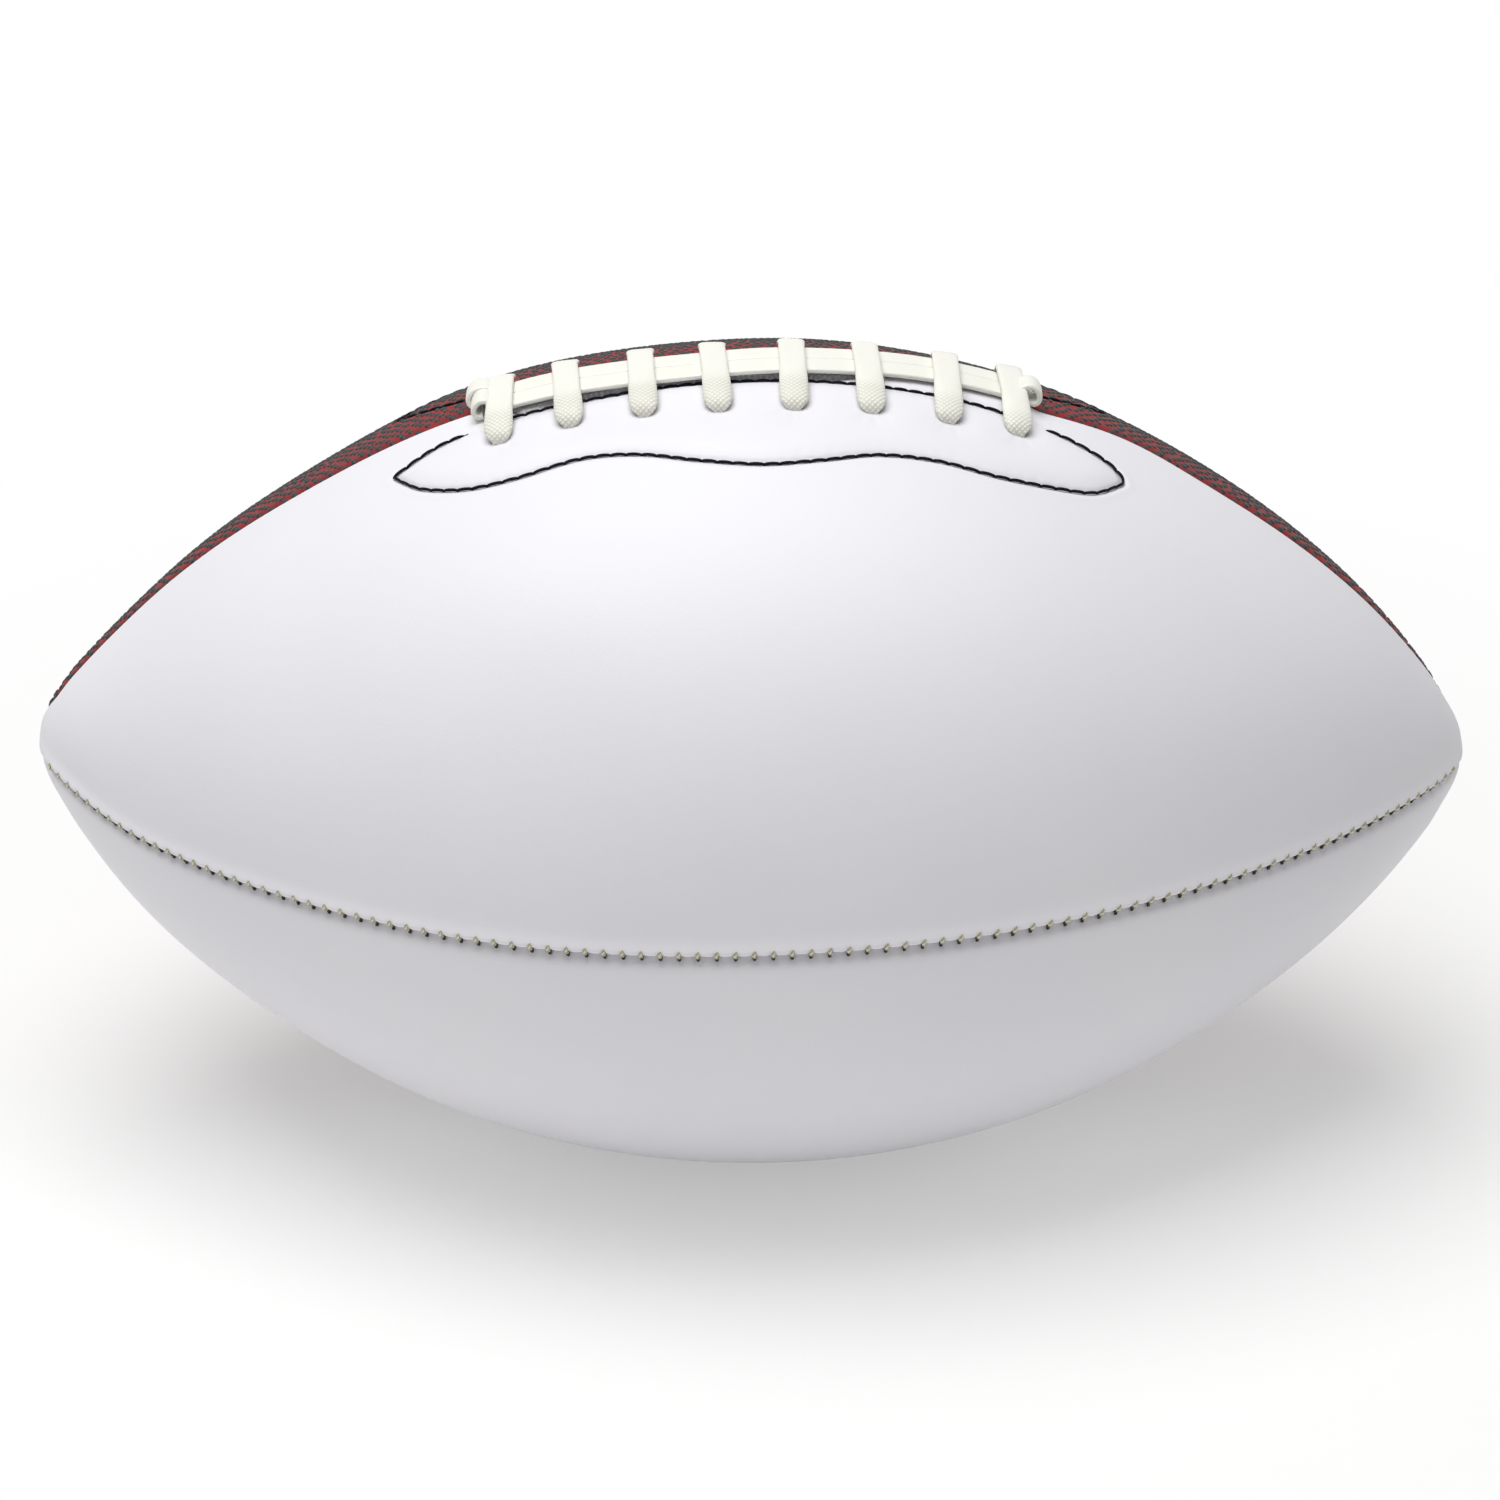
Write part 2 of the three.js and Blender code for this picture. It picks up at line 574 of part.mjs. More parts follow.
// The bladder fills the linings, with a groove along each seam and a dent under the tongue.
function bladderDepth(row, turn) {
  const { smoothstep, lerp } = THREE.MathUtils;
  const plain = lerp(
    BLADDER_TIP_ROOM,
    LINING_BOTTOM + CLEARANCE + FACET_SAG,
    smoothstep(row.r, TIP_RADIUS, 2 * TIP_RADIUS),
  );
  const fromTop = row.r * Math.min(turn, 2 * Math.PI - turn);
  const tongueEdge = HOLE_ROW_OFFSET + TONGUE_MARGIN;
  const dented =
    (1 - smoothstep(Math.abs(row.x), SLIT_END_X, SLIT_END_X + 2 * TONGUE_MARGIN)) *
    (1 - THREE.MathUtils.clamp((fromTop - 1.1 * tongueEdge) / (1.5 * tongueEdge), 0, 1));
  return lerp(plain, Math.max(plain, TONGUE_BOTTOM + 2 * CLEARANCE), dented);
}

function bladderRing(row, inset) {
  const grooveFloor = SEAM_GAP / 2 + THREAD_ROOM + TURNED_EDGE_THICKNESS + CLEARANCE;
  const grooveTop = grooveFloor + TURNED_EDGE_THICKNESS;
  const ring = [];
  const add = (turn, least) => {
    const depth = Math.max(bladderDepth(row, turn), least) + inset;
    ring.push(pointAt(row, depth, turn));
  };
  const inGroove = TURNED_EDGE_DEPTH + CLEARANCE;
  for (let quarter = 0; quarter < 4; quarter++) {
    const start = quarter * QUARTER;
    const floor = turnFor(row, inGroove, grooveFloor);
    const top = turnFor(row, inGroove, grooveTop);
    add(start, inGroove);
    add(start + floor, inGroove);
    for (let k = 0; k <= BLADDER_ARC_STEPS; k++) {
      add(start + THREE.MathUtils.lerp(top, QUARTER - top, k / BLADDER_ARC_STEPS), 0);
    }
    add(start + QUARTER - floor, inGroove);
  }
  return ring;
}

function bladder() {
  const skin = (inset) => loft(BLADDER_ROWS.map((row) => bladderRing(row, inset)));
  return cut(skin(0), skin(BLADDER_WALL));
}

// The valve stands in the middle of the back lower panel. Its profiles run along the valve's own axis,
// from the ball's middle outwards.
const VALVE_FACE = GIRTH_RADIUS - FACET_SAG - VALVE_RECESS;
const BLADDER_INSIDE = GIRTH_RADIUS - LINING_BOTTOM - CLEARANCE - FACET_SAG - BLADDER_WALL;
const VALVE_FLANGE_TOP =
  BLADDER_INSIDE - FACET_SAG - CLEARANCE - VALVE_FLANGE_RADIUS ** 2 / (2 * BLADDER_INSIDE);

// Lathes and cylinders stand along +Y, which is brought round to the way the valve points.
const aboutValve = (geometry) => geometry.rotateX(QUARTER + VALVE_ANGLE);

function valveRod(radius, foot, length) {
  const rod = new THREE.CylinderGeometry(radius, radius, length, ROUND_SIDES);
  return aboutValve(rod.translate(0, foot + length / 2, 0));
}

function valveBody() {
  const foot = VALVE_FACE - VALVE_LENGTH;
  const profile = [
    [VALVE_BORE_RADIUS, foot],
    [VALVE_NECK_RADIUS, foot],
    [VALVE_NECK_RADIUS, VALVE_FLANGE_TOP - VALVE_FLANGE_THICKNESS],
    [VALVE_FLANGE_RADIUS, VALVE_FLANGE_TOP - VALVE_FLANGE_THICKNESS],
    [VALVE_FLANGE_RADIUS, VALVE_FLANGE_TOP],
    [VALVE_NECK_RADIUS, VALVE_FLANGE_TOP],
    [VALVE_NECK_RADIUS, VALVE_FACE],
    [VALVE_BORE_RADIUS, VALVE_FACE],
    [VALVE_BORE_RADIUS, foot],
  ].map(([r, y]) => new THREE.Vector2(r, y));
  return facingOut(aboutValve(new THREE.LatheGeometry(profile, ROUND_SIDES)));
}

function valveCore() {
  const length = VALVE_LENGTH - CLEARANCE;
  const foot = VALVE_FACE - VALVE_LENGTH;
  const plug = valveRod(VALVE_BORE_RADIUS - CLEARANCE, foot, length);
  return cut(plug, valveRod(NEEDLE_HOLE_RADIUS, foot + length - NEEDLE_HOLE_DEPTH, length));
}

// The room for the valve's neck through panel, lining and bladder
const valveHole = () => valveRod(VALVE_NECK_RADIUS + CLEARANCE, VALVE_FACE - VALVE_LENGTH, GIRTH_RADIUS);

function groundCut() {
  const size = BALL_LENGTH;
  return new THREE.BoxGeometry(size, size, size).translate(0, 0, -AXIS_HEIGHT - size / 2);
}

// Materials
const material = (color, roughness) => new THREE.MeshStandardMaterial({ color, roughness, metalness: 0 });
const whiteLeather = material(0xe9e8ee, 0.45);
const redLeather = material(0x6d2f2b, 0.55);
const whiteLace = material(0xeeeee6, 0.5);
const liningCloth = material(0x8f8b86, 0.9);
const patchCloth = material(0xb9b4aa, 0.9);
const tongueCloth = material(0x77746f, 0.9);
const navyThread = material(0x0b1a2b, 0.6);
const creamThread = material(0xcfcab4, 0.7);
const bladderRubber = material(0x1d1d1f, 0.7);
const valveRubber = material(0x141414, 0.6);

// Assembly
const football = new THREE.Group();
football.position.z = AXIS_HEIGHT;

function addPiece(name, geometry, look) {
  const mesh = new THREE.Mesh(geometry, look);
  mesh.name = name;
  football.add(mesh);
}

const upperHoles = laceHoles();
const upperPanel = cut(panel(upperQuarter), ...upperHoles);
const lowerPanel = cut(panel(lowerQuarter), groundCut());
addPiece("panel_front_upper", upperPanel, whiteLeather);
addPiece("panel_front_lower", lowerPanel, whiteLeather);
addPiece("panel_back_upper", mirrored(upperPanel), redLeather);
addPiece("panel_back_lower", cut(mirrored(lowerPanel), valveHole()), redLeather);

const upperLining = cut(lining(upperQuarter), ...upperHoles);
const lowerLining = lining(lowerQuarter);
addPiece("lining_front_upper", upperLining, liningCloth);
addPiece("lining_front_lower", lowerLining, liningCloth);
addPiece("lining_back_upper", mirrored(upperLining), liningCloth);
addPiece("lining_back_lower", cut(mirrored(lowerLining), valveHole()), liningCloth);

const patch = cut(lacePatch(), ...upperHoles);
addPiece("lace_patch_front", patch, patchCloth);
addPiece("lace_patch_back", mirrored(patch), patchCloth);
const stitching = patchStitching();
addPiece("patch_stitching_front", stitching, navyThread);
addPiece("patch_stitching_back", mirrored(stitching), navyThread);
addPiece("lace", lace(), whiteLace);
addPiece("lace_tongue", tongue(), tongueCloth);

const threadRows = ROWS.filter((row) => row.r > TIP_RADIUS / 2);
const topRows = threadRows.filter((row) => !SLIT_SPAN_ROWS.includes(row));
addPiece("seam_thread_front", seamThread(QUARTER, threadRows), creamThread);
addPiece("seam_thread_bottom", seamThread(2 * QUARTER, threadRows), creamThread);
addPiece("seam_thread_back", seamThread(3 * QUARTER, threadRows), creamThread);
addPiece("seam_thread_top_left", seamThread(0, topRows.filter((row) => row.x < 0)), creamThread);
addPiece("seam_thread_top_right", seamThread(0, topRows.filter((row) => row.x > 0)), creamThread);

addPiece("bladder", cut(bladder(), valveHole()), bladderRubber);
addPiece("valve_body", valveBody(), valveRubber);
addPiece("valve_core", valveCore(), valveRubber);

export default football;
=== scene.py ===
"""The looks of an American football, dressed round its CAD frame.

Lengths are in millimetres until a mesh is made. +X runs along the ball and +Z points up through the
lace. A place on the ball is given by s, the distance along its side view from the middle, and by the
turn round its long axis, from the lace towards the front, or by the offset, which is that turn as a
distance along the surface. Pieces of the back are made on the front and mirrored.
"""

import math

import bpy
import numpy as np
from mathutils import Matrix, Vector


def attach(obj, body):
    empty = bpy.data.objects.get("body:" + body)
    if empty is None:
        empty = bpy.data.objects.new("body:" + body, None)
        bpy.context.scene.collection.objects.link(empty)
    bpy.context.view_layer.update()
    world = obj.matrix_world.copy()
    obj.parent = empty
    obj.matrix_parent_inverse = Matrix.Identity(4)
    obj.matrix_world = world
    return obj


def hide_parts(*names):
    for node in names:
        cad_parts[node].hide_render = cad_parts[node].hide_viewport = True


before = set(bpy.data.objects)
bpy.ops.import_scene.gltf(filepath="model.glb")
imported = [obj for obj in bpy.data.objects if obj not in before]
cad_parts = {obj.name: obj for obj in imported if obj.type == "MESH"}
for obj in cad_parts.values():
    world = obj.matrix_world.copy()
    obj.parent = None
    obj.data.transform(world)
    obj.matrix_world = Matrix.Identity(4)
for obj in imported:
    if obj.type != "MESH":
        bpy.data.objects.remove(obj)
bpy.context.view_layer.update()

MM = 0.001
QUARTER = math.pi / 2

# Ball
BALL_LENGTH = 280
GIRTH_DIAMETER = 162.6
TIP_RADIUS = 18.8
TIP_HOLE_RADIUS = 0.9
CONTACT_FLAT = 0.6
SHOULDER_X = 88  # where the sides are a little slimmer than an arc
SHOULDER_WIDTH = 26
SHOULDER_DEPTH = 0.6
LEFT_TIP_SLIM = 0.06  # how much slimmer the tips are than a round end
RIGHT_TIP_SLIM = 0.11
TIP_SLIM_REACH = (132.5, 139)
LEFT_NOSE_LIFT = 3.9  # how far the left tip points up
RIGHT_NOSE_DROP = 0.8  # how far the right tip points down
RIGHT_NOSE_CUT = 0.7  # how much shorter the right tip is
NOSE_REACH = (108, 146)

# Panels
PANEL_THICKNESS = 2
SEAM_LAP = 0.45  # how far a panel laps over its neighbour
HALF_SEAM = 0.05
CROWN_WIDTH = 1.3  # rounding of a panel's edge
CROWN_DEPTH = 1.1
OVER_LIFT = 1.0  # how far a lapping edge stands up
TOP_SEAM_LIFT = 0.15
OVER_LIFT_WIDTH = 2.1
UNDER_SINK = 1.9  # how far the edge below it goes down
UNDER_SINK_WIDTH = 2.0
FRONT_SEAM_STRAY = 1.15  # how far the front seam runs low on the left and high on the right
FRONT_SEAM_WAVE = 150
TOP_SEAM_SHIFT = 3.2  # how far the top seam strays towards the back
TOP_SEAM_X = 72
TOP_SEAM_WIDTH = 13
LEFT_SEAM_SHIFT = 2.6  # and towards the front at the left tip
LEFT_SEAM_REACH = (112, 140)
SEAM_PITCH = 3.47  # from one seam stitch to the next
PUCKER_LENGTH = 0.62
PUCKER_DEPTH = 0.3
PUCKER_PULL = 0.22  # how far a stitch draws the panel's edge back
PUCKER_REACH = 1.1
PULL_REACH = 0.9
BUTTING_PULL = 0.11  # the same where two panels meet evenly
PIT_DEPTH = 0.4  # where a stitch goes into the lower panel
PIT_DISTANCE = 1.9
PIT_WIDTH = 0.5
LAPPED_CROWN = 0.15  # share of the rounding on an edge that runs on under another
NARROW_PANEL = 18.2  # width below which a panel's edges get finer towards its tips
RELIEF_ROOM = 0.2  # between a panel's relief and its back
BACK_TURN_WIDTH = 3
SWELL_HEIGHT = 0.06  # of the leather between its seams
SWELL_LENGTH = 17
SWELL_LENGTH_PHASE = 1.3
SWELL_WIDTH = 13
SWELL_WIDTH_PHASE = 0.4
SLACK_DIPS = ((0.8, -85, 22), (1.0, -15, 30), (0.4, 35, 25))  # depth, middle and width of each
SLACK_FRONT = (-8, 24)  # offsets between which the slack fades
SLACK_BACK = (55, 110)
ROWS_PER_STITCH = 8
CROWN_COLUMNS = 7
FINE_STEP = 0.62
STEP_GROWTH = 0.25
OPEN_STEP = 2.8
FINE_REACH = 37  # beside the lace
VALVE_FINE_REACH = 7
INNER_COLUMNS = 14

# Lace
LACE_WIDTH = 5.4
LACE_THICKNESS = 1.25
LACE_DEPTH = 6.96  # where the lace crosses inside the ball
HOLE_OFFSET = 15.3
HOLE_BACK = 2.1  # from a bar's round end to the middle of its hole
STRAND_OFFSET = 2.75  # from the lace's middle to the middle of a strand
LEFT_CURL_RADIUS = 1.52
RIGHT_CURL_RADIUS = 1.65
BAR_GAP = 0.12  # between a bar and the strands below it

# Layers below the panels, as depths
LINING_TOP = 2.45
LINING_BOTTOM = 3.45
LINING_RISE = 2.4  # where it shows in the slit
PATCH_TOP = 3.75
PATCH_BOTTOM = 4.95
PATCH_MARGIN = 2.5  # patch beyond its stitching
TONGUE_TOP = 7.9
TONGUE_BOTTOM = 9.1
TONGUE_HALF_WIDTH = 19.3
TONGUE_END_X = 58
BLADDER_WALL = 0.9
BLADDER_DEPTH = 4.3
BLADDER_TIP_DEPTH = 8.5

# Valve, in the middle of the back lower panel
VALVE_TURN = 1.5 * QUARTER
VALVE_NECK_RADIUS = 3.6
VALVE_BORE_RADIUS = 2.1
VALVE_CORE_RADIUS = 1.8
VALVE_FLANGE_RADIUS = 8
VALVE_FLANGE_DEPTH = 5.6
VALVE_FLANGE_THICKNESS = 1.2
VALVE_LENGTH = 12
VALVE_RECESS = 0.9
VALVE_HOLE_RADIUS = 3.9
NEEDLE_HOLE_RADIUS = 0.8
NEEDLE_HOLE_DEPTH = 9
VALVE_SIDES = 64
VALVE_RIM = 0.35
VALVE_CORE_RIM = 0.3
VALVE_CORE_RECESS = 0.3  # below the neck's face
ROUNDED = 0.3  # share of a rim left off at the middle of its rounding
RIM_PLACES = (-0.7, -0.3, 0.2, 0.7)  # leather round the hole, from its radius, and where it goes
RIM_MOVED_TO = (-0.25, 0, 0.12, 0.75)
RIM_SUNK = (2.4, 1.4, 0.3, 0.05)
RIM_REACH = 7.8
RIM_SINK_REACH = 7.02

# Sizes that follow from those above
GIRTH_RADIUS = GIRTH_DIAMETER / 2
HALF_LENGTH = BALL_LENGTH / 2
AXIS_HEIGHT = GIRTH_RADIUS - CONTACT_FLAT
TIP_CENTRE_X = HALF_LENGTH - TIP_RADIUS
FLANK_RADIUS = (TIP_CENTRE_X**2 + GIRTH_RADIUS**2 - TIP_RADIUS**2) / (2 * (GIRTH_RADIUS - TIP_RADIUS))
FLANK_CENTRE_R = GIRTH_RADIUS - FLANK_RADIUS
JOIN_ANGLE = math.atan2(-FLANK_CENTRE_R, TIP_CENTRE_X)
FLANK_LENGTH = FLANK_RADIUS * (QUARTER - JOIN_ANGLE)
TIP_LENGTH = TIP_RADIUS * (JOIN_ANGLE - math.asin(TIP_HOLE_RADIUS / TIP_RADIUS))
PANEL_WIDTH = QUARTER * GIRTH_RADIUS
ROW_STEP = SEAM_PITCH / ROWS_PER_STITCH
ROW_COUNT = int((FLANK_LENGTH + TIP_LENGTH) / ROW_STEP)
ROWS = np.arange(-ROW_COUNT, ROW_COUNT + 1) * ROW_STEP
BALL_MIDDLE = np.array([0, 0, AXIS_HEIGHT])
VALVE_AXIS = np.array([0, -math.sin(VALVE_TURN), math.cos(VALVE_TURN)])


# Shape of the ball

def smooth(value, low, high):
    t = np.clip((value - low) / (high - low), 0, 1)
    return t * t * (3 - 2 * t)


def bell(value, width):
    return np.exp(-((value / width) ** 2))


def ramps(x, steps):
    """A sum of smooth steps, each with its size and the places where it starts and ends."""
    return sum(size * smooth(x, start, end) for size, start, end in steps)


def angles(count):
    """Evenly spaced angles of a full turn."""
    return np.arange(count) * 2 * math.pi / count


def unit(vectors):
    return vectors / np.linalg.norm(vectors, axis=1)[:, None]


def distances(points):
    """How far along a path each of its points lies."""
    return np.concatenate([[0], np.cumsum(np.linalg.norm(np.diff(points, axis=0), axis=1))])


def flat_map(run, across):
    """Flat coordinates of places that share a run in each row."""
    return np.stack([np.broadcast_to(run, across.shape), across], -1)


def side_view(s):
    """x, radius and outward normal of places along the side view."""
    side = np.sign(s)
    reach = np.abs(s)
    lean = np.minimum(reach, FLANK_LENGTH) / FLANK_RADIUS
    lean = lean + np.maximum(reach - FLANK_LENGTH, 0) / TIP_RADIUS
    on_tip = reach > FLANK_LENGTH
    radius = np.where(on_tip, TIP_RADIUS, FLANK_RADIUS)
    nx = side * np.sin(lean)
    nr = np.cos(lean)
    x = np.where(on_tip, side * TIP_CENTRE_X, 0) + radius * nx
    r = np.where(on_tip, 0, FLANK_CENTRE_R) + radius * nr
    r = r - SHOULDER_DEPTH * bell(np.abs(x) - SHOULDER_X, SHOULDER_WIDTH)
    slim = np.where(x < 0, LEFT_TIP_SLIM, RIGHT_TIP_SLIM) * smooth(np.abs(x), *TIP_SLIM_REACH)
    return x, r * (1 - slim), nx, nr


def along(x, height=0):
    """The distance along the side view of what stands at x, at a height over the flank."""
    return FLANK_RADIUS * np.arcsin(np.asarray(x) / (FLANK_RADIUS + height))


def place(s, turn, height):
    """Points at a height over the ball's surface."""
    x, r, nx, nr = side_view(s)
    x = x + height * nx
    r = r + height * nr
    left_nose = smooth(-x, *NOSE_REACH) ** 2
    right_nose = smooth(x, *NOSE_REACH) ** 2
    nose = LEFT_NOSE_LIFT * left_nose - RIGHT_NOSE_DROP * right_nose
    x = x - RIGHT_NOSE_CUT * right_nose
    return np.stack([x + 0 * turn, -r * np.sin(turn), r * np.cos(turn) + AXIS_HEIGHT + nose], -1)


def directions(s, turn):
    """Unit vectors along the ball, across it towards the front, and out of it."""
    _, _, nx, nr = side_view(s)
    nothing = np.zeros_like(nx * turn)
    ahead = np.stack([nr + nothing, nx * np.sin(turn), -nx * np.cos(turn)], -1)
    across = np.stack([nothing, -np.cos(turn) + nothing, -np.sin(turn) + nothing], -1)
    out = np.stack([nx + nothing, -nr * np.sin(turn), nr * np.cos(turn)], -1)
    return ahead, across, out


def slack(x, offset):
    """How far the upper panels lie below the ball's shape, behind the lace and a little before it."""
    lengthwise = sum(depth * bell(x - middle, width) for depth, middle, width in SLACK_DIPS)
    return lengthwise * (1 - smooth(offset, *SLACK_FRONT)) * (1 - smooth(-offset, *SLACK_BACK))


def through(points, steps, closed=False):
    """A smooth run of closely spaced points through chosen ones, with a step for each stretch."""
    if closed:
        padded = np.concatenate([points[-1:], points, points[:2]])
    else:
        padded = np.concatenate([points[:1], points, points[-1:]])
    dense = []
    lengths = np.linalg.norm(np.diff(padded[:, :3], axis=0), axis=1)
    spans = np.maximum(np.sqrt(lengths), 1e-3)
    for k, step in enumerate(steps):
        p0, p1, p2, p3 = padded[k : k + 4]
        before, here, after = spans[k : k + 3]
        count = max(1, math.ceil(lengths[k + 1] / step))
        t = (np.arange(count) / count)[:, None]
        leave = p2 - p1 + here * ((p1 - p0) / before - (p2 - p0) / (before + here))
        arrive = p2 - p1 + here * ((p3 - p2) / after - (p3 - p1) / (here + after))
        bend = (3 * (p2 - p1) - 2 * leave - arrive) * t**2 + (2 * (p1 - p2) + leave + arrive) * t**3
        dense.append(p1 + leave * t + bend)
    if not closed:
        dense.append(points[-1:])
    return np.concatenate(dense)


# Meshes
SHARP_EDGE = math.radians(60)


def body(rings, flat, loops=False):
    """Points, faces and flat coordinates of a closed body through rings of points."""
    rows, count, _ = rings.shape
    points = rings.reshape(-1, 3)
    row = np.arange(rows if loops else rows - 1)[:, None] * count
    next_row = (row + count) % (rows * count)
    column = np.arange(count)[None, :]
    next_column = (column + 1) % count
    corners = [row + column, row + next_column, next_row + next_column, next_row + column]
    quads = np.stack(corners, -1).reshape(-1, 4)
    a, b, c, d = (points[quads[:, k]] for k in range(4))
    volume = np.sum(a * np.cross(b, c)) + np.sum(a * np.cross(c, d))
    faces = quads.tolist()
    if not loops:
        last = (rows - 1) * count
        faces.append(list(range(count - 1, -1, -1)))
        faces.append(list(range(last, last + count)))
    if volume < 0:
        faces = [face[::-1] for face in faces]
    return points, faces, flat.reshape(-1, 2)


def mesh_of(name, bodies):
    """One smooth mesh of closed bodies, in metres, with their flat coordinates in millimetres."""
    points = []
    faces = []
    flat = []
    start = 0
    for body_points, body_faces, body_flat in bodies:
        points.append(body_points)
        flat.append(body_flat)
        faces.extend([[i + start for i in face] for face in body_faces])
        start += len(body_points)
    mesh = bpy.data.meshes.new(name)
    mesh.from_pydata(np.concatenate(points) * MM, [], faces)
    corner_points = np.empty(len(mesh.loops), np.int32)
    mesh.loops.foreach_get("vertex_index", corner_points)
    layer = mesh.uv_layers.new(name="flat")
    layer.uv.foreach_set("vector", np.concatenate(flat)[corner_points].astype(np.float32).ravel())
    mesh.shade_smooth()
    mesh.set_sharp_from_angle(angle=SHARP_EDGE)
    return mesh


def add_object(name, data):
    added = bpy.data.objects.new(name, data)
    bpy.context.scene.collection.objects.link(added)
    return added


def add_piece(name, bodies, material, node):
    mesh = mesh_of(name, bodies)
    mesh.materials.append(material)
    piece = add_object(name, mesh)
    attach(piece, "root")
    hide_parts(node)


def mirrored(bodies):
    """The same bodies on the other side of the ball."""
    flip = np.array([1, -1, 1])
    return [(points * flip, [face[::-1] for face in faces], flat) for points, faces, flat in bodies]


# Lines of stitching round the patches, as places along the ball and offsets from the lace
FRONT_UPPER_RUN = (
    (-67.6, 13.6), (-60, 9.4), (-52, 7.7), (-42, 6.9), (-28, 6.1), (-14, 4.9), (0, 4.5),
    (15, 4.1), (30, 3.9), (42, 4.2), (55, 6.1), (64.7, 9.0), (68.6, 11.4), (70.2, 14.6),
)
FRONT_LOWER_RUN = (
    (68.4, 17.6), (64, 22), (57, 24.6), (46, 26.4), (35, 26), (24, 26.9), (12.7, 29.9), (2, 31.4),
    (-9.5, 30), (-21, 26.9), (-31, 25.6), (-44, 26.8), (-53.1, 25.7), (-61.6, 21.2), (-65.2, 17.2),
    (-67.6, 13.6),
)
BACK_UPPER_RUN = (
    (-69.5, 18.5), (-65, 15.2), (-60, 12.2), (-52, 9.4), (-40, 7.4), (-20, 6.2), (0, 6), (20, 6.8),
    (40, 8.4), (52, 9.8), (59.7, 12.8), (65.7, 16.5), (69, 19.4),
)
BACK_LOWER_RUN = (
    (67.5, 23), (60, 27), (48, 30.6), (34, 32), (18, 33), (0, 34), (-18, 35), (-34, 34.6), (-48, 32.4),
    (-58, 28.6), (-65, 24), (-69.5, 18.5),
)
PATCH_LINE_STEP = 0.5
STITCH_PITCH = 2.9
STITCH_RADIUS = 0.3
STITCH_STEPS = 10
STITCH_SIDES = 8
STITCH_LOW = -0.18  # height of the thread where it dips, and how far it rises between
STITCH_RISE = 0.28
STITCH_THINNING = 0.12
BURIED_AT = ((-51.8, 7.7), (53.8, 5.9))  # where the leather by the lace's ends closes over the thread
BURIED_LENGTH = 2.7
BURIED_DEPTH = 0.8


def buried(x, offset):
    """1 where the leather closes over the thread, fading to 0 away from there."""
    nearest = np.min([np.hypot(x - at_x, offset - at_offset) for at_x, at_offset in BURIED_AT], axis=0)
    return bell(nearest, BURIED_LENGTH)


def patch_line(upper, lower):
    """The closed line, as evenly spaced places. Its left tip is a corner."""
    chosen = np.array(upper + lower, float)
    dense = through(chosen, np.full(len(chosen), PATCH_LINE_STEP), True)
    closed = np.concatenate([dense, dense[:1]])
    reach = distances(closed)
    count = round(reach[-1] / STITCH_PITCH) * STITCH_STEPS
    even = np.linspace(0, reach[-1], count, endpoint=False)
    return np.stack([np.interp(even, reach, closed[:, k]) for k in (0, 1)], -1)


FRONT_PATCH_LINE = patch_line(FRONT_UPPER_RUN, FRONT_LOWER_RUN)
BACK_PATCH_LINE = patch_line(BACK_UPPER_RUN, BACK_LOWER_RUN)


def distance_to_line(x, offset, line):
    """Distance from places to the nearest point of a line, and whether they lie inside it."""
    nearest = np.full(x.shape, np.inf)
    inside = np.zeros(x.shape, bool)
    for (x0, y0), (x1, y1) in zip(line, np.roll(line, -1, axis=0)):
        nearest = np.minimum(nearest, (x - x0) ** 2 + (offset - y0) ** 2)
        crosses = (y0 > offset) != (y1 > offset)
        if y1 != y0:
            inside ^= crosses & (x < x0 + (offset - y0) * (x1 - x0) / (y1 - y0))
    return np.sqrt(nearest), inside


# Bars of the lace: where each one crosses the strands, and where its front end goes into the leather
BAR_TOP_X = (-47.7, -35.5, -21.1, -7.4, 7.7, 21.7, 37.1, 49.4)
BAR_TIP = (
    (-47.5, 15.9), (-34.0, 16.2), (-20.0, 16.6), (-6.0, 17.0),
    (8.2, 16.5), (22.8, 15.5), (37.3, 14.6), (50.5, 12.9),
)
BACK_HOLES = [(x, HOLE_OFFSET) for x in BAR_TOP_X]

# Slit
SLIT_END_X = 54
SLIT_TAPER = 4
SLIT_PULL = (0.2, 0.8, 0.8, 0.3, 0.5, 0.4, 0.3, 0)  # how far each bar draws the white edge to the lace
SLIT_PULL_WIDTH = 4.5
WHITE_EDGE = 6.4  # from the lace's middle to the white leather's edge, and how far that falls back
WHITE_EDGE_FALLS = ((5.4, -43, -49), (2.4, -42, -2), (9.4, 8, 46))
RED_EDGE = 2.5
RED_EDGE_RISES = ((4.5, -30, 40),)


def slit_share(x):
    return 1 - smooth(np.abs(x), SLIT_END_X - SLIT_TAPER, SLIT_END_X)


def straight_seam(x):
    return 0 * x


def front_seam(x):
    """How far the front seam lies below the middle of the front."""
    return -FRONT_SEAM_STRAY * np.sin(math.pi * x / FRONT_SEAM_WAVE)


def top_seam(x):
    """Offset of the seam between the upper panels, which strays towards the back right of the lace, and
    towards the front at the left tip."""
    to_front = LEFT_SEAM_SHIFT * smooth(-x, *LEFT_SEAM_REACH)
    return to_front - TOP_SEAM_SHIFT * bell(x - TOP_SEAM_X, TOP_SEAM_WIDTH)


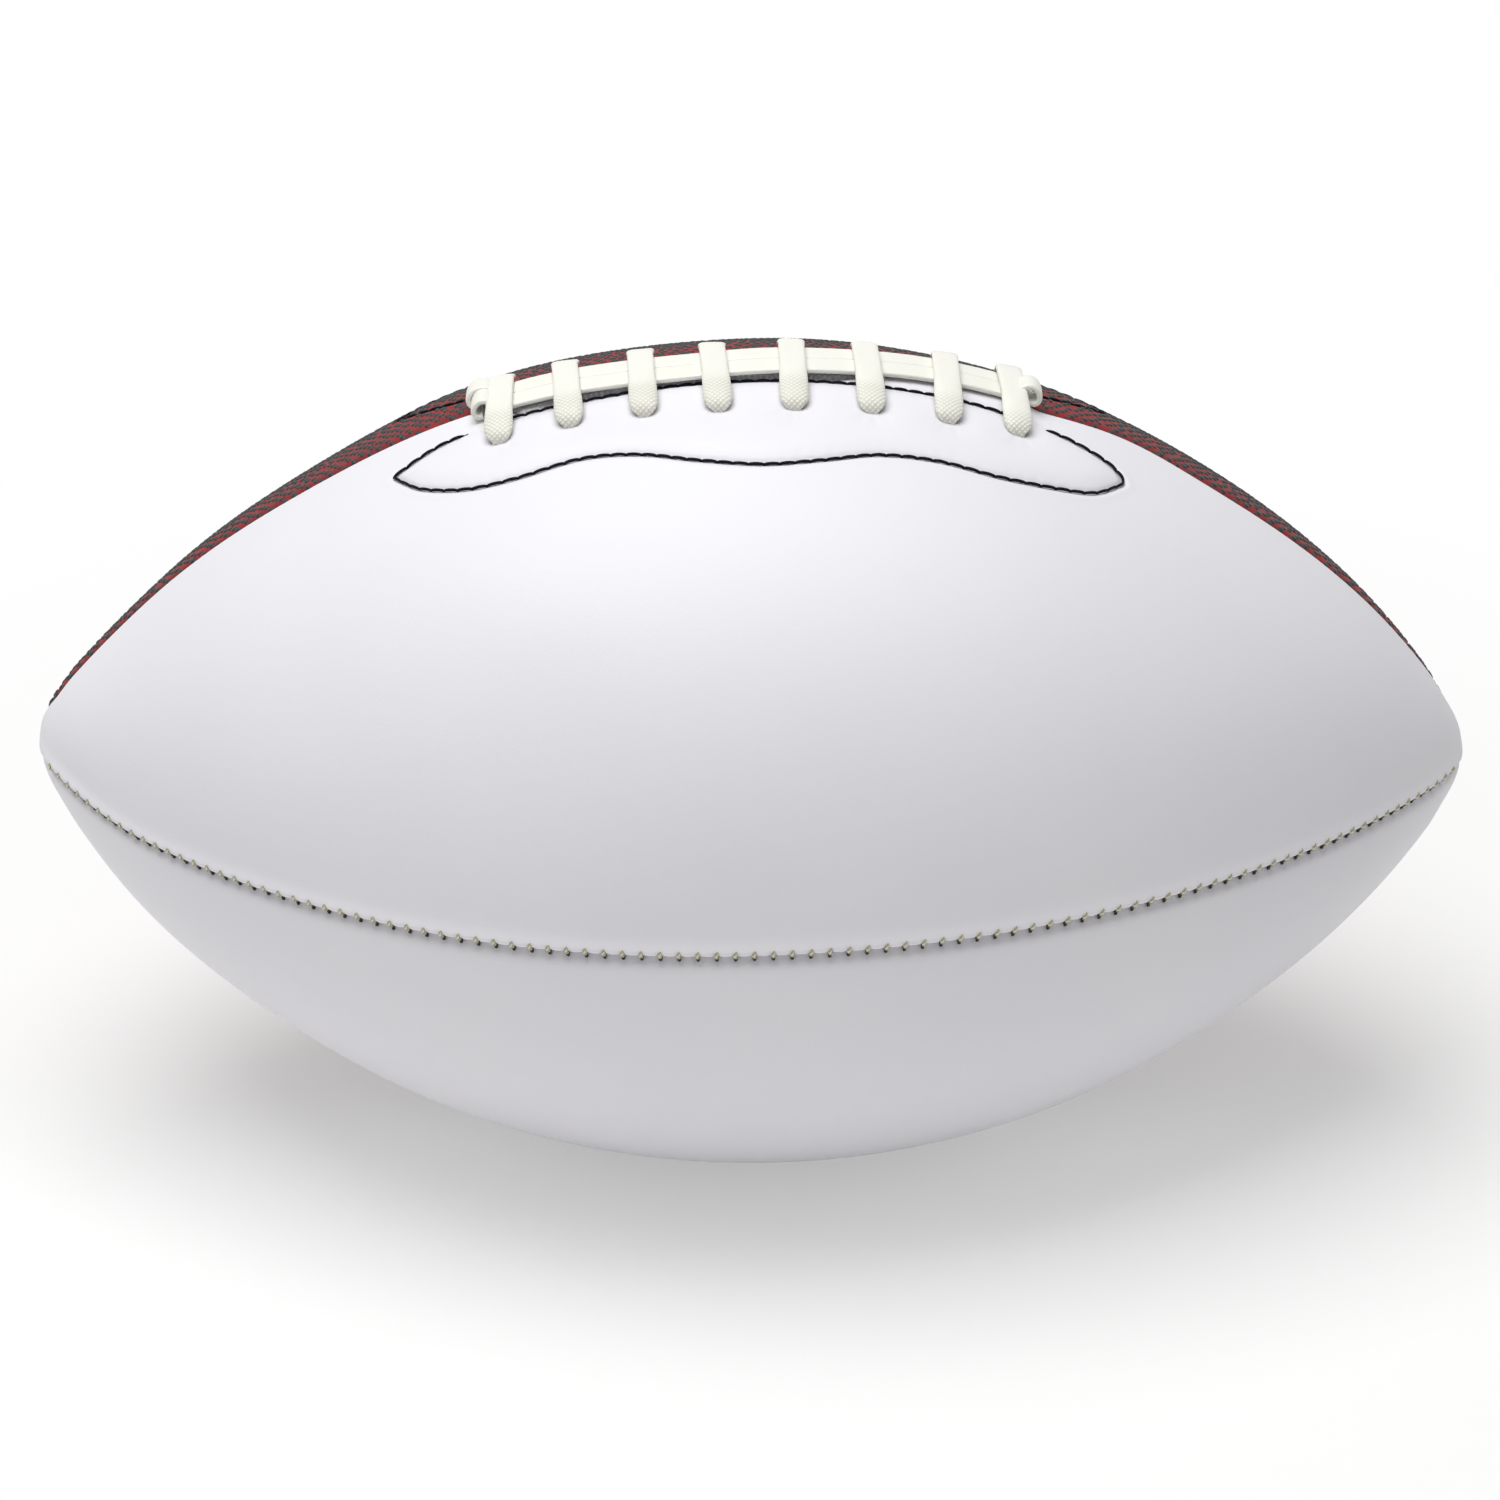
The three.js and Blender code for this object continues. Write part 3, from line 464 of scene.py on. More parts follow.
def front_slit_edge(x):
    """Offset of the white leather's edge along the slit, which slants towards the back on the right."""
    edge = WHITE_EDGE - ramps(x, WHITE_EDGE_FALLS)
    for bar_x, pull in zip(BAR_TOP_X, SLIT_PULL):
        edge = edge - pull * bell(x - bar_x, SLIT_PULL_WIDTH)
    seam = top_seam(x) - SEAM_LAP
    return seam + (edge - seam) * slit_share(x)


def back_slit_edge(x):
    edge = RED_EDGE + ramps(x, RED_EDGE_RISES)
    seam = HALF_SEAM - top_seam(x)
    return seam + (edge - seam) * slit_share(x)


def slit_middle(x):
    return (front_slit_edge(x) - back_slit_edge(x)) / 2


# Panels

def columns_across(*zones):
    """Distances from a panel's first edge at its widest, close together near its edges and in zones."""
    crown = CROWN_WIDTH * (1 - np.cos(np.linspace(0, QUARTER, CROWN_COLUMNS)))[:-1]
    last = PANEL_WIDTH - CROWN_WIDTH
    places = [CROWN_WIDTH]
    while places[-1] < last:
        here = places[-1]
        away = [max(low - here, here - high, 0) for low, high in zones]
        far = max(min(here - CROWN_WIDTH, last - here, *away), 0)
        places.append(here + min(FINE_STEP + STEP_GROWTH * far, OPEN_STEP))
    middle = np.array(places) - CROWN_WIDTH
    middle = CROWN_WIDTH + middle * (last - CROWN_WIDTH) / middle[-1]
    return np.concatenate([crown, middle, PANEL_WIDTH - crown[::-1]])


def crown_drop(distance, shrink):
    """How far a panel's edge rounds down into its seam."""
    q = np.clip(1 - distance / (CROWN_WIDTH * shrink), 0, 1)
    return CROWN_DEPTH * shrink * (1 - np.sqrt(np.maximum(1 - q * q, 0)))


def stitch_pull(s):
    """1 at each seam stitch and 0 between them."""
    from_stitch = (s / SEAM_PITCH + 0.5) % 1 - 0.5
    return bell(from_stitch * SEAM_PITCH, PUCKER_LENGTH)


def lapping(pucker, seam=straight_seam, lift=OVER_LIFT):
    """The edge of a panel that laps over its neighbour."""
    def height(distance, pull):
        drawn = pucker * PUCKER_DEPTH * pull * bell(distance, PUCKER_REACH)
        return lift * bell(distance, OVER_LIFT_WIDTH) - drawn
    def draw(distance, pull):
        return pucker * PUCKER_PULL * pull * bell(distance, PULL_REACH)
    return {"edge": lambda x: -SEAM_LAP - seam(x), "height": height, "draw": draw, "crown": 1}


def lapped(pucker, seam=straight_seam):
    """The edge of a panel that runs on under its neighbour."""
    def height(distance, pull):
        pit = pucker * PIT_DEPTH * pull * bell(distance - PIT_DISTANCE, PIT_WIDTH)
        return -UNDER_SINK * bell(distance, UNDER_SINK_WIDTH) - pit
    def draw(distance, pull):
        return 0
    edge = lambda x: HALF_SEAM + seam(x)
    return {"edge": edge, "height": height, "draw": draw, "crown": LAPPED_CROWN}


def butting():
    """The edge of a panel that meets its neighbour evenly."""
    def height(distance, pull):
        return -PUCKER_DEPTH * pull * bell(distance, PUCKER_REACH)
    def draw(distance, pull):
        return BUTTING_PULL * pull * bell(distance, PULL_REACH)
    return {"edge": lambda x: HALF_SEAM, "height": height, "draw": draw, "crown": 1}


class Panel:
    """A quarter of the cover between two edges, with the relief of its outer face."""

    def __init__(self, start, first, second, relief, reshape=None):
        self.start = start
        self.first = first
        self.second = second
        self.relief = relief
        self.reshape = reshape

    def spread(self, s):
        """Offset of the first edge, room up to the second one, and the panel's narrowing to its tips."""
        x, r, _, _ = side_view(s)
        width = QUARTER * r
        narrow = np.minimum(1, width / NARROW_PANEL)
        first_offset = np.where(np.abs(x) > SLIT_END_X, narrow, 1) * self.first["edge"](x)
        return first_offset, width - first_offset - narrow * self.second["edge"](x), narrow

    def skin(self, s, from_first, lift=0.0):
        """Points at a lift over the outer face, and their offsets."""
        x, r, _, _ = side_view(s)
        first_offset, room, narrow = self.spread(s)
        pull = stitch_pull(s) * narrow
        height = lift + np.zeros_like(from_first)
        offset = first_offset + from_first
        sides = ((self.first, from_first, 1), (self.second, room - from_first, -1))
        for edge, distance, towards in sides:
            sewn = narrow * (1 - slit_share(x) if edge.get("slit") else 1)
            bare = edge["crown"] + (1 - edge["crown"]) * (slit_share(x) if edge.get("slit") else 0)
            height -= bare * crown_drop(distance, narrow)
            height += sewn * edge["height"](distance, pull)
            offset = offset + towards * sewn * edge["draw"](distance, pull)
        height += self.relief(x, offset)
        points = place(s, self.start + offset / r, height)
        if self.reshape:
            points = self.reshape(points)
        points[..., 2] = np.maximum(points[..., 2], 0)
        return points, offset

    def leather(self, columns):
        """The panel's closed body."""
        s = ROWS[:, None]
        r = side_view(s)[1]
        first_offset, room, narrow = self.spread(s)
        near_first = np.minimum(columns, CROWN_WIDTH)
        past_second = np.maximum(columns - PANEL_WIDTH + CROWN_WIDTH, 0)
        inner = (columns - near_first - past_second) / (PANEL_WIDTH - 2 * CROWN_WIDTH)
        from_first = (near_first + past_second) * narrow + inner * (room - 2 * CROWN_WIDTH * narrow)
        outer, offset = self.skin(s, from_first)
        share = np.linspace(1, 0, INNER_COLUMNS)
        inner_offset = first_offset + share * room
        to_edge = np.minimum(share, 1 - share) * room
        turned_down = (CROWN_DEPTH - RELIEF_ROOM) * bell(to_edge, BACK_TURN_WIDTH)
        depth = PANEL_THICKNESS + RELIEF_ROOM + turned_down
        under = place(s, self.start + inner_offset / r, -depth)
        under[..., 2] = np.maximum(under[..., 2], 0)
        across = np.concatenate([offset, inner_offset], 1) - QUARTER * r / 2
        return body(np.concatenate([outer, under], 1), flat_map(s, across))

    def grains(self, bare):
        """Low closed domes in a loose honeycomb over the outer face, but for its bare places."""
        chance = np.random.default_rng(GRAIN_SEED)
        rows = np.arange(-PANEL_WIDTH / 2, PANEL_WIDTH / 2, GRAIN_PITCH * math.sqrt(3) / 2)
        s, across = np.meshgrid(np.arange(ROWS[0], ROWS[-1], GRAIN_PITCH), rows)
        s = s + (np.arange(len(rows)) % 2)[:, None] * GRAIN_PITCH / 2
        s = (s + chance.uniform(-GRAIN_STRAY, GRAIN_STRAY, s.shape)).ravel()
        across = (across + chance.uniform(-GRAIN_STRAY, GRAIN_STRAY, across.shape)).ravel()
        x, r, _, _ = side_view(s)
        offset = across + QUARTER * r / 2
        first_offset, room, _ = self.spread(s)
        from_first = offset - first_offset
        clear = (from_first > GRAIN_MARGIN) & (from_first < room - GRAIN_MARGIN) & ~bare(x, offset)
        s = s[clear][:, None]
        from_first = from_first[clear][:, None]
        radius = GRAIN_RADIUS * chance.uniform(*GRAIN_SIZES, s.shape)
        angle = np.concatenate([angles(GRAIN_SIDES), angles(GRAIN_SIDES), [0]])
        level = np.repeat((0, 1, 2), (GRAIN_SIDES, GRAIN_SIDES, 1))
        reach = radius * np.array(GRAIN_REACHES)[level]
        lift = GRAIN_HEIGHT * np.array(GRAIN_LIFTS)[level]
        points, offset = self.skin(s + reach * np.cos(angle), from_first + reach * np.sin(angle), lift)
        foot = np.arange(GRAIN_SIDES)
        foot_next = (foot + 1) % GRAIN_SIDES
        brow = foot + GRAIN_SIDES
        brow_next = foot_next + GRAIN_SIDES
        first_point = np.arange(len(s))[:, None] * len(angle)
        sides = first_point[..., None] + np.stack([foot_next, foot, brow, brow_next], -1)
        peak = np.full(GRAIN_SIDES, 2 * GRAIN_SIDES)
        tops = first_point[..., None] + np.stack([brow_next, brow, peak], -1)
        faces = sides.reshape(-1, 4).tolist() + tops.reshape(-1, 3).tolist()
        faces += (first_point + foot).tolist()
        return points.reshape(-1, 3), faces, flat_map(s, offset).reshape(-1, 2)


def plain(x, offset):
    """A panel that only swells a little between its seams."""
    lengthwise = np.sin(x / SWELL_LENGTH + SWELL_LENGTH_PHASE)
    return SWELL_HEIGHT * lengthwise * np.sin(offset / SWELL_WIDTH + SWELL_WIDTH_PHASE)


# Relief of the upper panels beside the lace
PATCH_ROOM_X = 80  # the patches lie within this x and offset
PATCH_ROOM_OFFSET = 42
FRONT_RIDGE = 0.85  # how far the white edge stands up under the strands
RIDGE_START = (14, 30)
RIDGE_END = (50, 56)
RIDGE_SIDE = (0.5, 5.5)
FRONT_PUFF = 0.75  # how far a padded patch stands up
BACK_PUFF = 0.2
PUFF_EDGE = 2.6  # how wide the padded patch falls to its stitching
LIP_HEIGHT = 0.12  # leather raised outside the stitching
LIP_DISTANCE = 1.2
LIP_WIDTH = 0.9
GROOVE_DEPTH = 0.55
GROOVE_WIDTH = 0.55
PLEAT_RATE = 5.3  # of small folds along the stitching, bent and broken up
PLEAT_BEND = 1.7
PLEAT_BEND_RATE = 1.1
PLEAT_BREAK_RATE = 2.9
PLEAT_BREAK_PHASE = 0.6
PLEAT_HEIGHT = 0.05  # inside the stitching, and outside of it
OUTER_PLEAT_HEIGHT = 0.015
PLEAT_DISTANCE = 1.3
PLEAT_WIDTH = 1.0
OUTER_PLEAT_DISTANCE = 0.8
OUTER_PLEAT_WIDTH = 0.5
HOLE_DEPTH = 2.2
HOLE_EDGE = (0.7, 1.5)
HOLE_STRETCH = 1.15  # a hole is longer along the ball
DIMPLE_DEPTH = 0.45  # leather drawn in at a bar's end
DIMPLE_WIDTH = 4.0
SPOKES = 9  # wrinkles that run out from a hole
SPOKE_HEIGHT = 0.05
SPOKE_DISTANCE = 4.4
SPOKE_WIDTH = 1.6
SPOKE_MIDDLE = 1.5
SPOKE_START = -1
TROUGH_DEPTH = 0.4  # leather pressed down under a bar
TROUGH_WIDTH = 2.7
TROUGH_START = (0, 3)
TROUGH_END = (6, 11)


def sewn_patch(x, offset, line, puff_height):
    """The padded patch, with the groove and the small folds along its stitching."""
    distance, inside = distance_to_line(x, offset, line)
    puff = puff_height * (1 - bell(distance, PUFF_EDGE))
    lip = LIP_HEIGHT * bell(distance - LIP_DISTANCE, LIP_WIDTH)
    groove = -GROOVE_DEPTH * bell(distance, GROOVE_WIDTH) * (1 - buried(x, offset))
    bend = PLEAT_BEND * np.sin(offset * PLEAT_BEND_RATE)
    pleat = np.sin(x * PLEAT_RATE + bend) * np.sin(x * PLEAT_BREAK_RATE + PLEAT_BREAK_PHASE)
    inner = PLEAT_HEIGHT * bell(distance - PLEAT_DISTANCE, PLEAT_WIDTH)
    outer = OUTER_PLEAT_HEIGHT * bell(distance - OUTER_PLEAT_DISTANCE, OUTER_PLEAT_WIDTH)
    return groove + np.where(inside, puff + pleat * inner, lip + pleat * outer)


def drawn_in(x, offset, holes):
    """How far the leather lies below its shape at the lace's holes and under the bars."""
    depth = np.zeros_like(x)
    for hole_x, hole_offset in holes:
        dx = x - hole_x
        do = offset - hole_offset
        around = np.hypot(dx / HOLE_STRETCH, do + HOLE_BACK)
        spoke = np.sin(SPOKES * np.arctan2(do + SPOKE_MIDDLE, dx) + hole_x)
        under_bar = smooth(-do, *TROUGH_START) * (1 - smooth(-do, *TROUGH_END))
        depth += HOLE_DEPTH * (1 - smooth(around, *HOLE_EDGE))
        depth += DIMPLE_DEPTH * bell(np.hypot(dx, do), DIMPLE_WIDTH)
        depth -= SPOKE_HEIGHT * spoke * bell(around - SPOKE_DISTANCE, SPOKE_WIDTH) * (do > SPOKE_START)
        depth += TROUGH_DEPTH * bell(dx, TROUGH_WIDTH) * under_bar
    return depth


def beside_lace(line, holes, puff_height, ridge_height, side):
    """Relief of an upper panel: its sewn patch, the leather drawn in at the lace, and its ridge under the
    right half of the strands."""
    def relief(x, offset):
        x = np.broadcast_to(x, offset.shape)
        ridge = smooth(x, *RIDGE_START) * (1 - smooth(x, *RIDGE_END)) * (1 - smooth(offset, *RIDGE_SIDE))
        height = plain(x, offset) - slack(x, side * offset) + ridge_height * ridge
        near = (np.abs(x) < PATCH_ROOM_X) & (offset < PATCH_ROOM_OFFSET)
        near_x = x[near]
        near_offset = offset[near]
        height[near] += sewn_patch(near_x, near_offset, line, puff_height)
        height[near] -= drawn_in(near_x, near_offset, holes)
        return height
    return relief


def valve_opening(points):
    """Draws the leather into a round hole at the valve."""
    from_middle = points - BALL_MIDDLE
    rise = from_middle @ VALVE_AXIS
    radial = from_middle - rise[..., None] * VALVE_AXIS
    distance = np.linalg.norm(radial, axis=-1)
    near = (distance < RIM_REACH) & (rise > 0)
    places = VALVE_HOLE_RADIUS + np.array(RIM_PLACES)
    moved_to = VALVE_HOLE_RADIUS + np.array(RIM_MOVED_TO)
    pushed = np.interp(distance, [0, *places, RIM_REACH], [0, *moved_to, RIM_REACH])
    sunk = np.interp(distance, [0, *places, RIM_SINK_REACH], [RIM_SUNK[0], *RIM_SUNK, 0])
    outward = pushed / np.maximum(distance, 1e-6) - 1
    moved = points + radial * outward[..., None] - VALVE_AXIS * sunk[..., None]
    return np.where(near[..., None], moved, points)


# Grains of the pebbled leather
GRAIN_SEED = 5
GRAIN_PITCH = 2.1
GRAIN_RADIUS = 0.75
GRAIN_HEIGHT = 0.28
GRAIN_STRAY = 0.36
GRAIN_SIDES = 6
GRAIN_SIZES = (0.8, 1.2)
GRAIN_REACHES = (1, 0.72, 0)  # of its foot, brow and peak
GRAIN_LIFTS = (-0.2, 0.75, 1)
GRAIN_MARGIN = 0.5  # from a panel's edge
HOLE_MARGIN = 3
VALVE_MARGIN = 1.2


def pebbled(relief):
    """The relief of a ground whose grains reach up to the ball's shape."""
    def ground(x, offset):
        return relief(x, offset) - GRAIN_HEIGHT
    return ground


def bare_beside_lace(x, offset):
    """Where the stitching and the lace leave no room for grains."""
    bare = distance_to_line(x, offset, BACK_PATCH_LINE)[0] < GRAIN_RADIUS
    for hole_x, hole_offset in BACK_HOLES:
        bare |= np.hypot(x - hole_x, offset - hole_offset) < HOLE_MARGIN
    return bare


def bare_at_valve(x, offset):
    return np.hypot(x, offset - PANEL_WIDTH / 2) < VALVE_HOLE_RADIUS + VALVE_MARGIN


UPPER_COLUMNS = columns_across((0, FINE_REACH))
LOWER_COLUMNS = columns_across((0, 0))
VALVE_COLUMNS = columns_across((PANEL_WIDTH / 2 - VALVE_FINE_REACH, PANEL_WIDTH / 2 + VALVE_FINE_REACH))
front_slit = {**lapping(0, lift=TOP_SEAM_LIFT), "edge": front_slit_edge, "slit": True}
back_slit = {**lapped(0), "edge": back_slit_edge, "slit": True}
front_relief = beside_lace(FRONT_PATCH_LINE, BAR_TIP, FRONT_PUFF, FRONT_RIDGE, 1)
back_relief = beside_lace(BACK_PATCH_LINE, BACK_HOLES, BACK_PUFF, 0, -1)
front_upper = Panel(0, front_slit, lapping(1, front_seam), front_relief)
front_lower = Panel(QUARTER, lapped(1, front_seam), butting(), plain)
back_upper = Panel(0, back_slit, lapping(1), pebbled(back_relief))
back_lower = Panel(QUARTER, lapped(1), butting(), pebbled(plain), valve_opening)


# Thread

def tube(centres, radius, up, sides, loops=False):
    """A round body along a path, with a radius at each step."""
    if loops:
        travel = unit(np.roll(centres, -1, axis=0) - np.roll(centres, 1, axis=0))
    else:
        travel = unit(np.gradient(centres, axis=0))
    side = unit(np.cross(travel, up))
    top = np.cross(side, travel)
    angle = angles(sides)
    ring = side[:, None] * np.cos(angle)[None, :, None] + top[:, None] * np.sin(angle)[None, :, None]
    rings = centres[:, None] + ring * radius[:, None, None]
    rings[..., 2] = np.maximum(rings[..., 2], 0)
    across = angle[None, :] * radius[:, None]
    return body(rings, flat_map(distances(centres)[:, None], across), loops)


SEAM_STITCH_RADIUS = 0.41
SEAM_STITCH_STEP = 0.25
SEAM_STITCH_SIDES = 10
SEAM_STITCH_FULLNESS = 1.03  # what is over 1 leaves its ends blunt
SEAM_STITCH_ROUNDING = 0.3
LAPPING_STITCH = (
    (-0.8, 0.2), (-0.45, 0.62), (-0.05, 0.62), (0.35, 0.32), (0.7, -0.15), (1.05, -0.6), (1.4, -0.85),
    (1.75, -0.85), (2.0, -1.2),
)
BUTTING_STITCH = ((-1.2, -0.6), (-0.7, -0.05), (0, 0.1), (0.7, -0.05), (1.2, -0.6))


def seam_stitches(chosen, turn, lowest, highest, sunk=0, seam=straight_seam):
    """One short loop of thread at each stitch, through chosen offsets and heights."""
    first = math.ceil(lowest / SEAM_PITCH)
    last = math.floor(highest / SEAM_PITCH)
    path = through(np.array(chosen), np.full(len(chosen) - 1, SEAM_STITCH_STEP))
    offset, height = path.T
    height = height - sunk
    t = np.linspace(-1, 1, len(path))
    radius = SEAM_STITCH_RADIUS * (SEAM_STITCH_FULLNESS - t * t) ** SEAM_STITCH_ROUNDING
    stitches = []
    for k in range(first, last + 1):
        s = np.array(k * SEAM_PITCH)
        x, r, _, _ = side_view(s)
        around = turn + (offset + seam(x)) / r
        centres = place(s, around, height)
        ahead, _, _ = directions(s, around)
        up = np.cross(ahead, np.gradient(centres, axis=0))
        stitches.append(tube(centres, radius, up, SEAM_STITCH_SIDES))
    return stitches


def patch_stitches(line, sunk, side):
    """The closed line of thread round a patch, which dips into the leather between stitches."""
    phase = (np.arange(len(line)) % STITCH_STEPS) / STITCH_STEPS
    lift = np.sin(math.pi * phase)
    x, offset = line.T
    s = along(x)
    turn = offset / side_view(s)[1]
    height = STITCH_LOW + STITCH_RISE * np.sqrt(lift) - sunk - slack(x, side * offset)
    height -= BURIED_DEPTH * buried(x, offset)
    radius = STITCH_RADIUS * (1 - STITCH_THINNING * (1 - lift))
    _, _, out = directions(s, turn)
    return [tube(place(s, turn, height), radius, out, STITCH_SIDES, True)]


# Lace
FLAT_ACROSS = 0.0  # strip's width across the ball
FLAT_ALONG = QUARTER  # strip's width along the ball
END_STEP = 0.15  # between sections of the lace at the bars' front ends
BAR_STEP = 0.27
CURL_STEP = 0.35
REST_STEP = 0.9
SECTION_POINTS = 50
WEAVE_PITCH = 1.08
WEAVE_DEPTH = 0.1
STRAND_STATIONS = 26
FRONT_STRAND_ENDS = (-51.0, 53.2)  # middles of its curls
BACK_STRAND_ENDS = (-52.2, 49.8)
LACE_MIDDLE = 0.2  # offset of the line between the strands on the left, and its slant to the back
LACE_SLANT = ((4.2, -18, 48),)
STRAND_HEIGHT = 0.9
STRAND_SWELLS = ((0.3, -20, -40), (0.5, -14, 4), (0.2, 16, 32))
STRAND_LOOPS = ((2.6, -47, -51), (3.1, 48.5, 53.2))  # how far a strand stands up where it curls
TAIL_CURL = range(280, 99, -20)  # degrees
DIVE_CURL = range(80, -91, -20)
CURL_ROOM = 0.5  # between a strand's long part and the middles of its curls
LEAVE_AHEAD = 0.9  # where a strand leaves its curl for the slit
LEAVE_SHARE = 0.6
ENTER_AHEAD = 0.2  # where it goes into the slit
ENTER_DEPTH = 0.6
DIVE_SHARES = (0.3, 1, 4)  # of its way down: first, last and how many
FOOT_PLACES = ((0.75, 0.3), (2.25, 0))  # beside the slit's middle, and over the lace's depth
BAR_TILT = math.radians(-3)  # bars are partly level, whatever the slope of the ball
BAR_LEVEL = 0.4
BAR_LEVEL_HEIGHTS = (0.9, 2.1)
PUFFING = 1.6  # how soon a thicker lace gets a rounder section
FLAT_SIDE_POWER = 5.2  # powers of the section's curve, for a flat lace and for a round one
ROUND_SIDE_POWER = 2.2
FLAT_TOP_POWER = 0.28
ROUND_TOP_POWER = 0.46
BAR_END_WIDTH = 2.2
BAR_END_THIN = 0.55  # share of its thickness at its tip
BAR_END_TURN = math.radians(103)  # where a bar's round end meets the leather
BAR_END_STATIONS = 9
FRONT_END = {"lift": 0.45, "rise": 1.4, "reach": 2.2, "thick": 2.2, "width": 5.5}
BACK_END = {"lift": -0.45, "rise": 0.5, "reach": 1.2, "thick": 1.2, "width": 5.0}


def lace_middle(x):
    """Offset of the line between the two strands, which slants towards the back on the right."""
    return LACE_MIDDLE - ramps(x, LACE_SLANT)


def strand_height(x):
    """Height of a strand's middle over the ball."""
    return STRAND_HEIGHT + ramps(x, STRAND_SWELLS) + ramps(x, STRAND_LOOPS)


def strand_route(ends, side):
    """A strand from the tail under its first curl, over to its second curl and down into the slit.
    A station holds x, offset, height, twist, width, thickness, how far it is woven, and its step."""
    tail, dive = ends
    forward = math.copysign(1, dive - tail)
    route = []

    def add(x, offset, height, twist=FLAT_ACROSS, step=REST_STEP):
        route.append((x, offset, height, twist, LACE_WIDTH, LACE_THICKNESS, 0, step))

    def offset_at(x):
        return lace_middle(x) + side * STRAND_OFFSET

    def curl_radius(x):
        return LEFT_CURL_RADIUS if x < 0 else RIGHT_CURL_RADIUS

    def curl(x, degrees):
        turn = math.radians(degrees)
        px = x + forward * curl_radius(x) * math.cos(turn)
        height = strand_height(x) + curl_radius(x) * (math.sin(turn) - 1)
        add(px, offset_at(px), height, FLAT_ACROSS, CURL_STEP)

    for degrees in TAIL_CURL:
        curl(tail, degrees)
    middle = (tail + dive) / 2
    half = (dive - tail) / 2 - forward * CURL_ROOM
    for turn in np.linspace(0, 2 * QUARTER, STRAND_STATIONS):
        x = middle - half * math.cos(turn)
        add(x, offset_at(x), strand_height(x))
    for degrees in DIVE_CURL:
        curl(dive, degrees)
    low = strand_height(dive) - 2 * curl_radius(dive)
    dive_x = dive - forward * 2 * curl_radius(dive)
    slit = slit_middle(dive_x)
    leave_offset = (1 - LEAVE_SHARE) * offset_at(dive_x) + LEAVE_SHARE * slit
    add(dive_x + forward * LEAVE_AHEAD, leave_offset, low)
    add(dive_x + forward * ENTER_AHEAD, slit, min(low, 0) - ENTER_DEPTH)
    foot = LACE_DEPTH - curl_radius(dive)
    for share in np.linspace(*DIVE_SHARES):
        add(dive_x, slit, -foot * share, FLAT_ALONG * share)
    for beside, rise in FOOT_PLACES:
        add(dive_x, slit + side * beside, -LACE_DEPTH + rise, FLAT_ALONG)
    return route


def bar_half(top_x, tip_offset, end, side):
    """Half of a bar, from inside the ball through its hole and over a round end to the strands' middle."""
    top = strand_height(top_x) + LACE_THICKNESS + BAR_GAP
    edge = side * lace_middle(top_x) + STRAND_OFFSET + LACE_WIDTH / 2
    radius = end["reach"] + end["thick"] / 2
    bend = tip_offset - radius + 0.15 * end["thick"]
    hole = tip_offset - HOLE_BACK
    stations = [
        (hole - 0.6, -LACE_DEPTH, 5.4, 1.25, 0),
        (hole, -LACE_DEPTH + 0.45, 5.0, 1.35, 0),
        (hole, -LACE_DEPTH + 1.6, 4.0, 1.4, 0),
        (hole, -2.4, 2.2, 1.4, 0),
        (hole + 0.3, -1.1, 1.8, 1.4, 0),
    ]
    turns = np.linspace(BAR_END_TURN, 0.1, BAR_END_STATIONS)
    curve = np.stack([bend + end["reach"] * np.sin(turns), end["lift"] + end["rise"] * np.cos(turns)], -1)
    from_tip = np.minimum(np.linalg.norm(curve - curve[0], axis=1), end["width"] / 2)
    widths = np.maximum(BAR_END_WIDTH, 2 * np.sqrt(from_tip * (end["width"] - from_tip)))
    thicknesses = end["thick"] * (BAR_END_THIN + (1 - BAR_END_THIN) * 2 * from_tip / end["width"])
    for (offset, height), width, thick in zip(curve, widths, thicknesses):
        stations.append((offset, height, width, thick, 1))
    shin_height = 0.5 * (end["lift"] + end["rise"] + top)
    stations += [
        (0.5 * (bend + edge), shin_height, 5.4, 0.5 * end["thick"] + 0.8, 0.8),
        (edge + 0.3, top - 0.05, 5.1, 1.5, 0.4),
        (edge - 2.6, top + 0.1, 5.0, 1.3, 0.1),
    ]
    return [(side * offset, *rest) for offset, *rest in stations]


def bar_route(top_x, tip, hole):
    """A bar from its front end, leaning over the strands, to its hole in the back."""
    rear = lace_middle(top_x) - STRAND_OFFSET - LACE_WIDTH / 2
    route = []
    stations = bar_half(top_x, tip[1], FRONT_END, 1) + bar_half(top_x, hole[1], BACK_END, -1)[::-1]
    for offset, height, width, thick, woven in stations:
        x = np.interp(offset, (-hole[1], rear, tip[1]), (hole[0], top_x, tip[0]))
        step = REST_STEP if height < -1 else END_STEP if woven == 1 and offset > 0 else BAR_STEP
        route.append((x, offset, height, FLAT_ALONG, width, thick, woven, step))
    return route


def crossing(start, end):
    """Inside the ball, from the back hole of one bar to the front hole of the next."""
    route = []
    for share in (0.25, 0.5, 0.75):
        x = start[0] + (end[0] - start[0]) * share
        offset = start[1] + (end[1] - start[1]) * share
        route.append((x, offset, -LACE_DEPTH, FLAT_ALONG, LACE_WIDTH, LACE_THICKNESS, 0, REST_STEP))
    return route


def lace_route():
    """The front strand, the bars from right to left, and the back strand, as one strip."""
    route = strand_route(FRONT_STRAND_ENDS, 1)
    for i in reversed(range(len(BAR_TIP))):
        bar = bar_route(BAR_TOP_X[i], BAR_TIP[i], BACK_HOLES[i])
        if i < len(BAR_TIP) - 1:
            route += crossing(route[-1], bar[0])
        route += bar
    return np.array(route + strand_route(BACK_STRAND_ENDS[::-1], -1)[::-1])


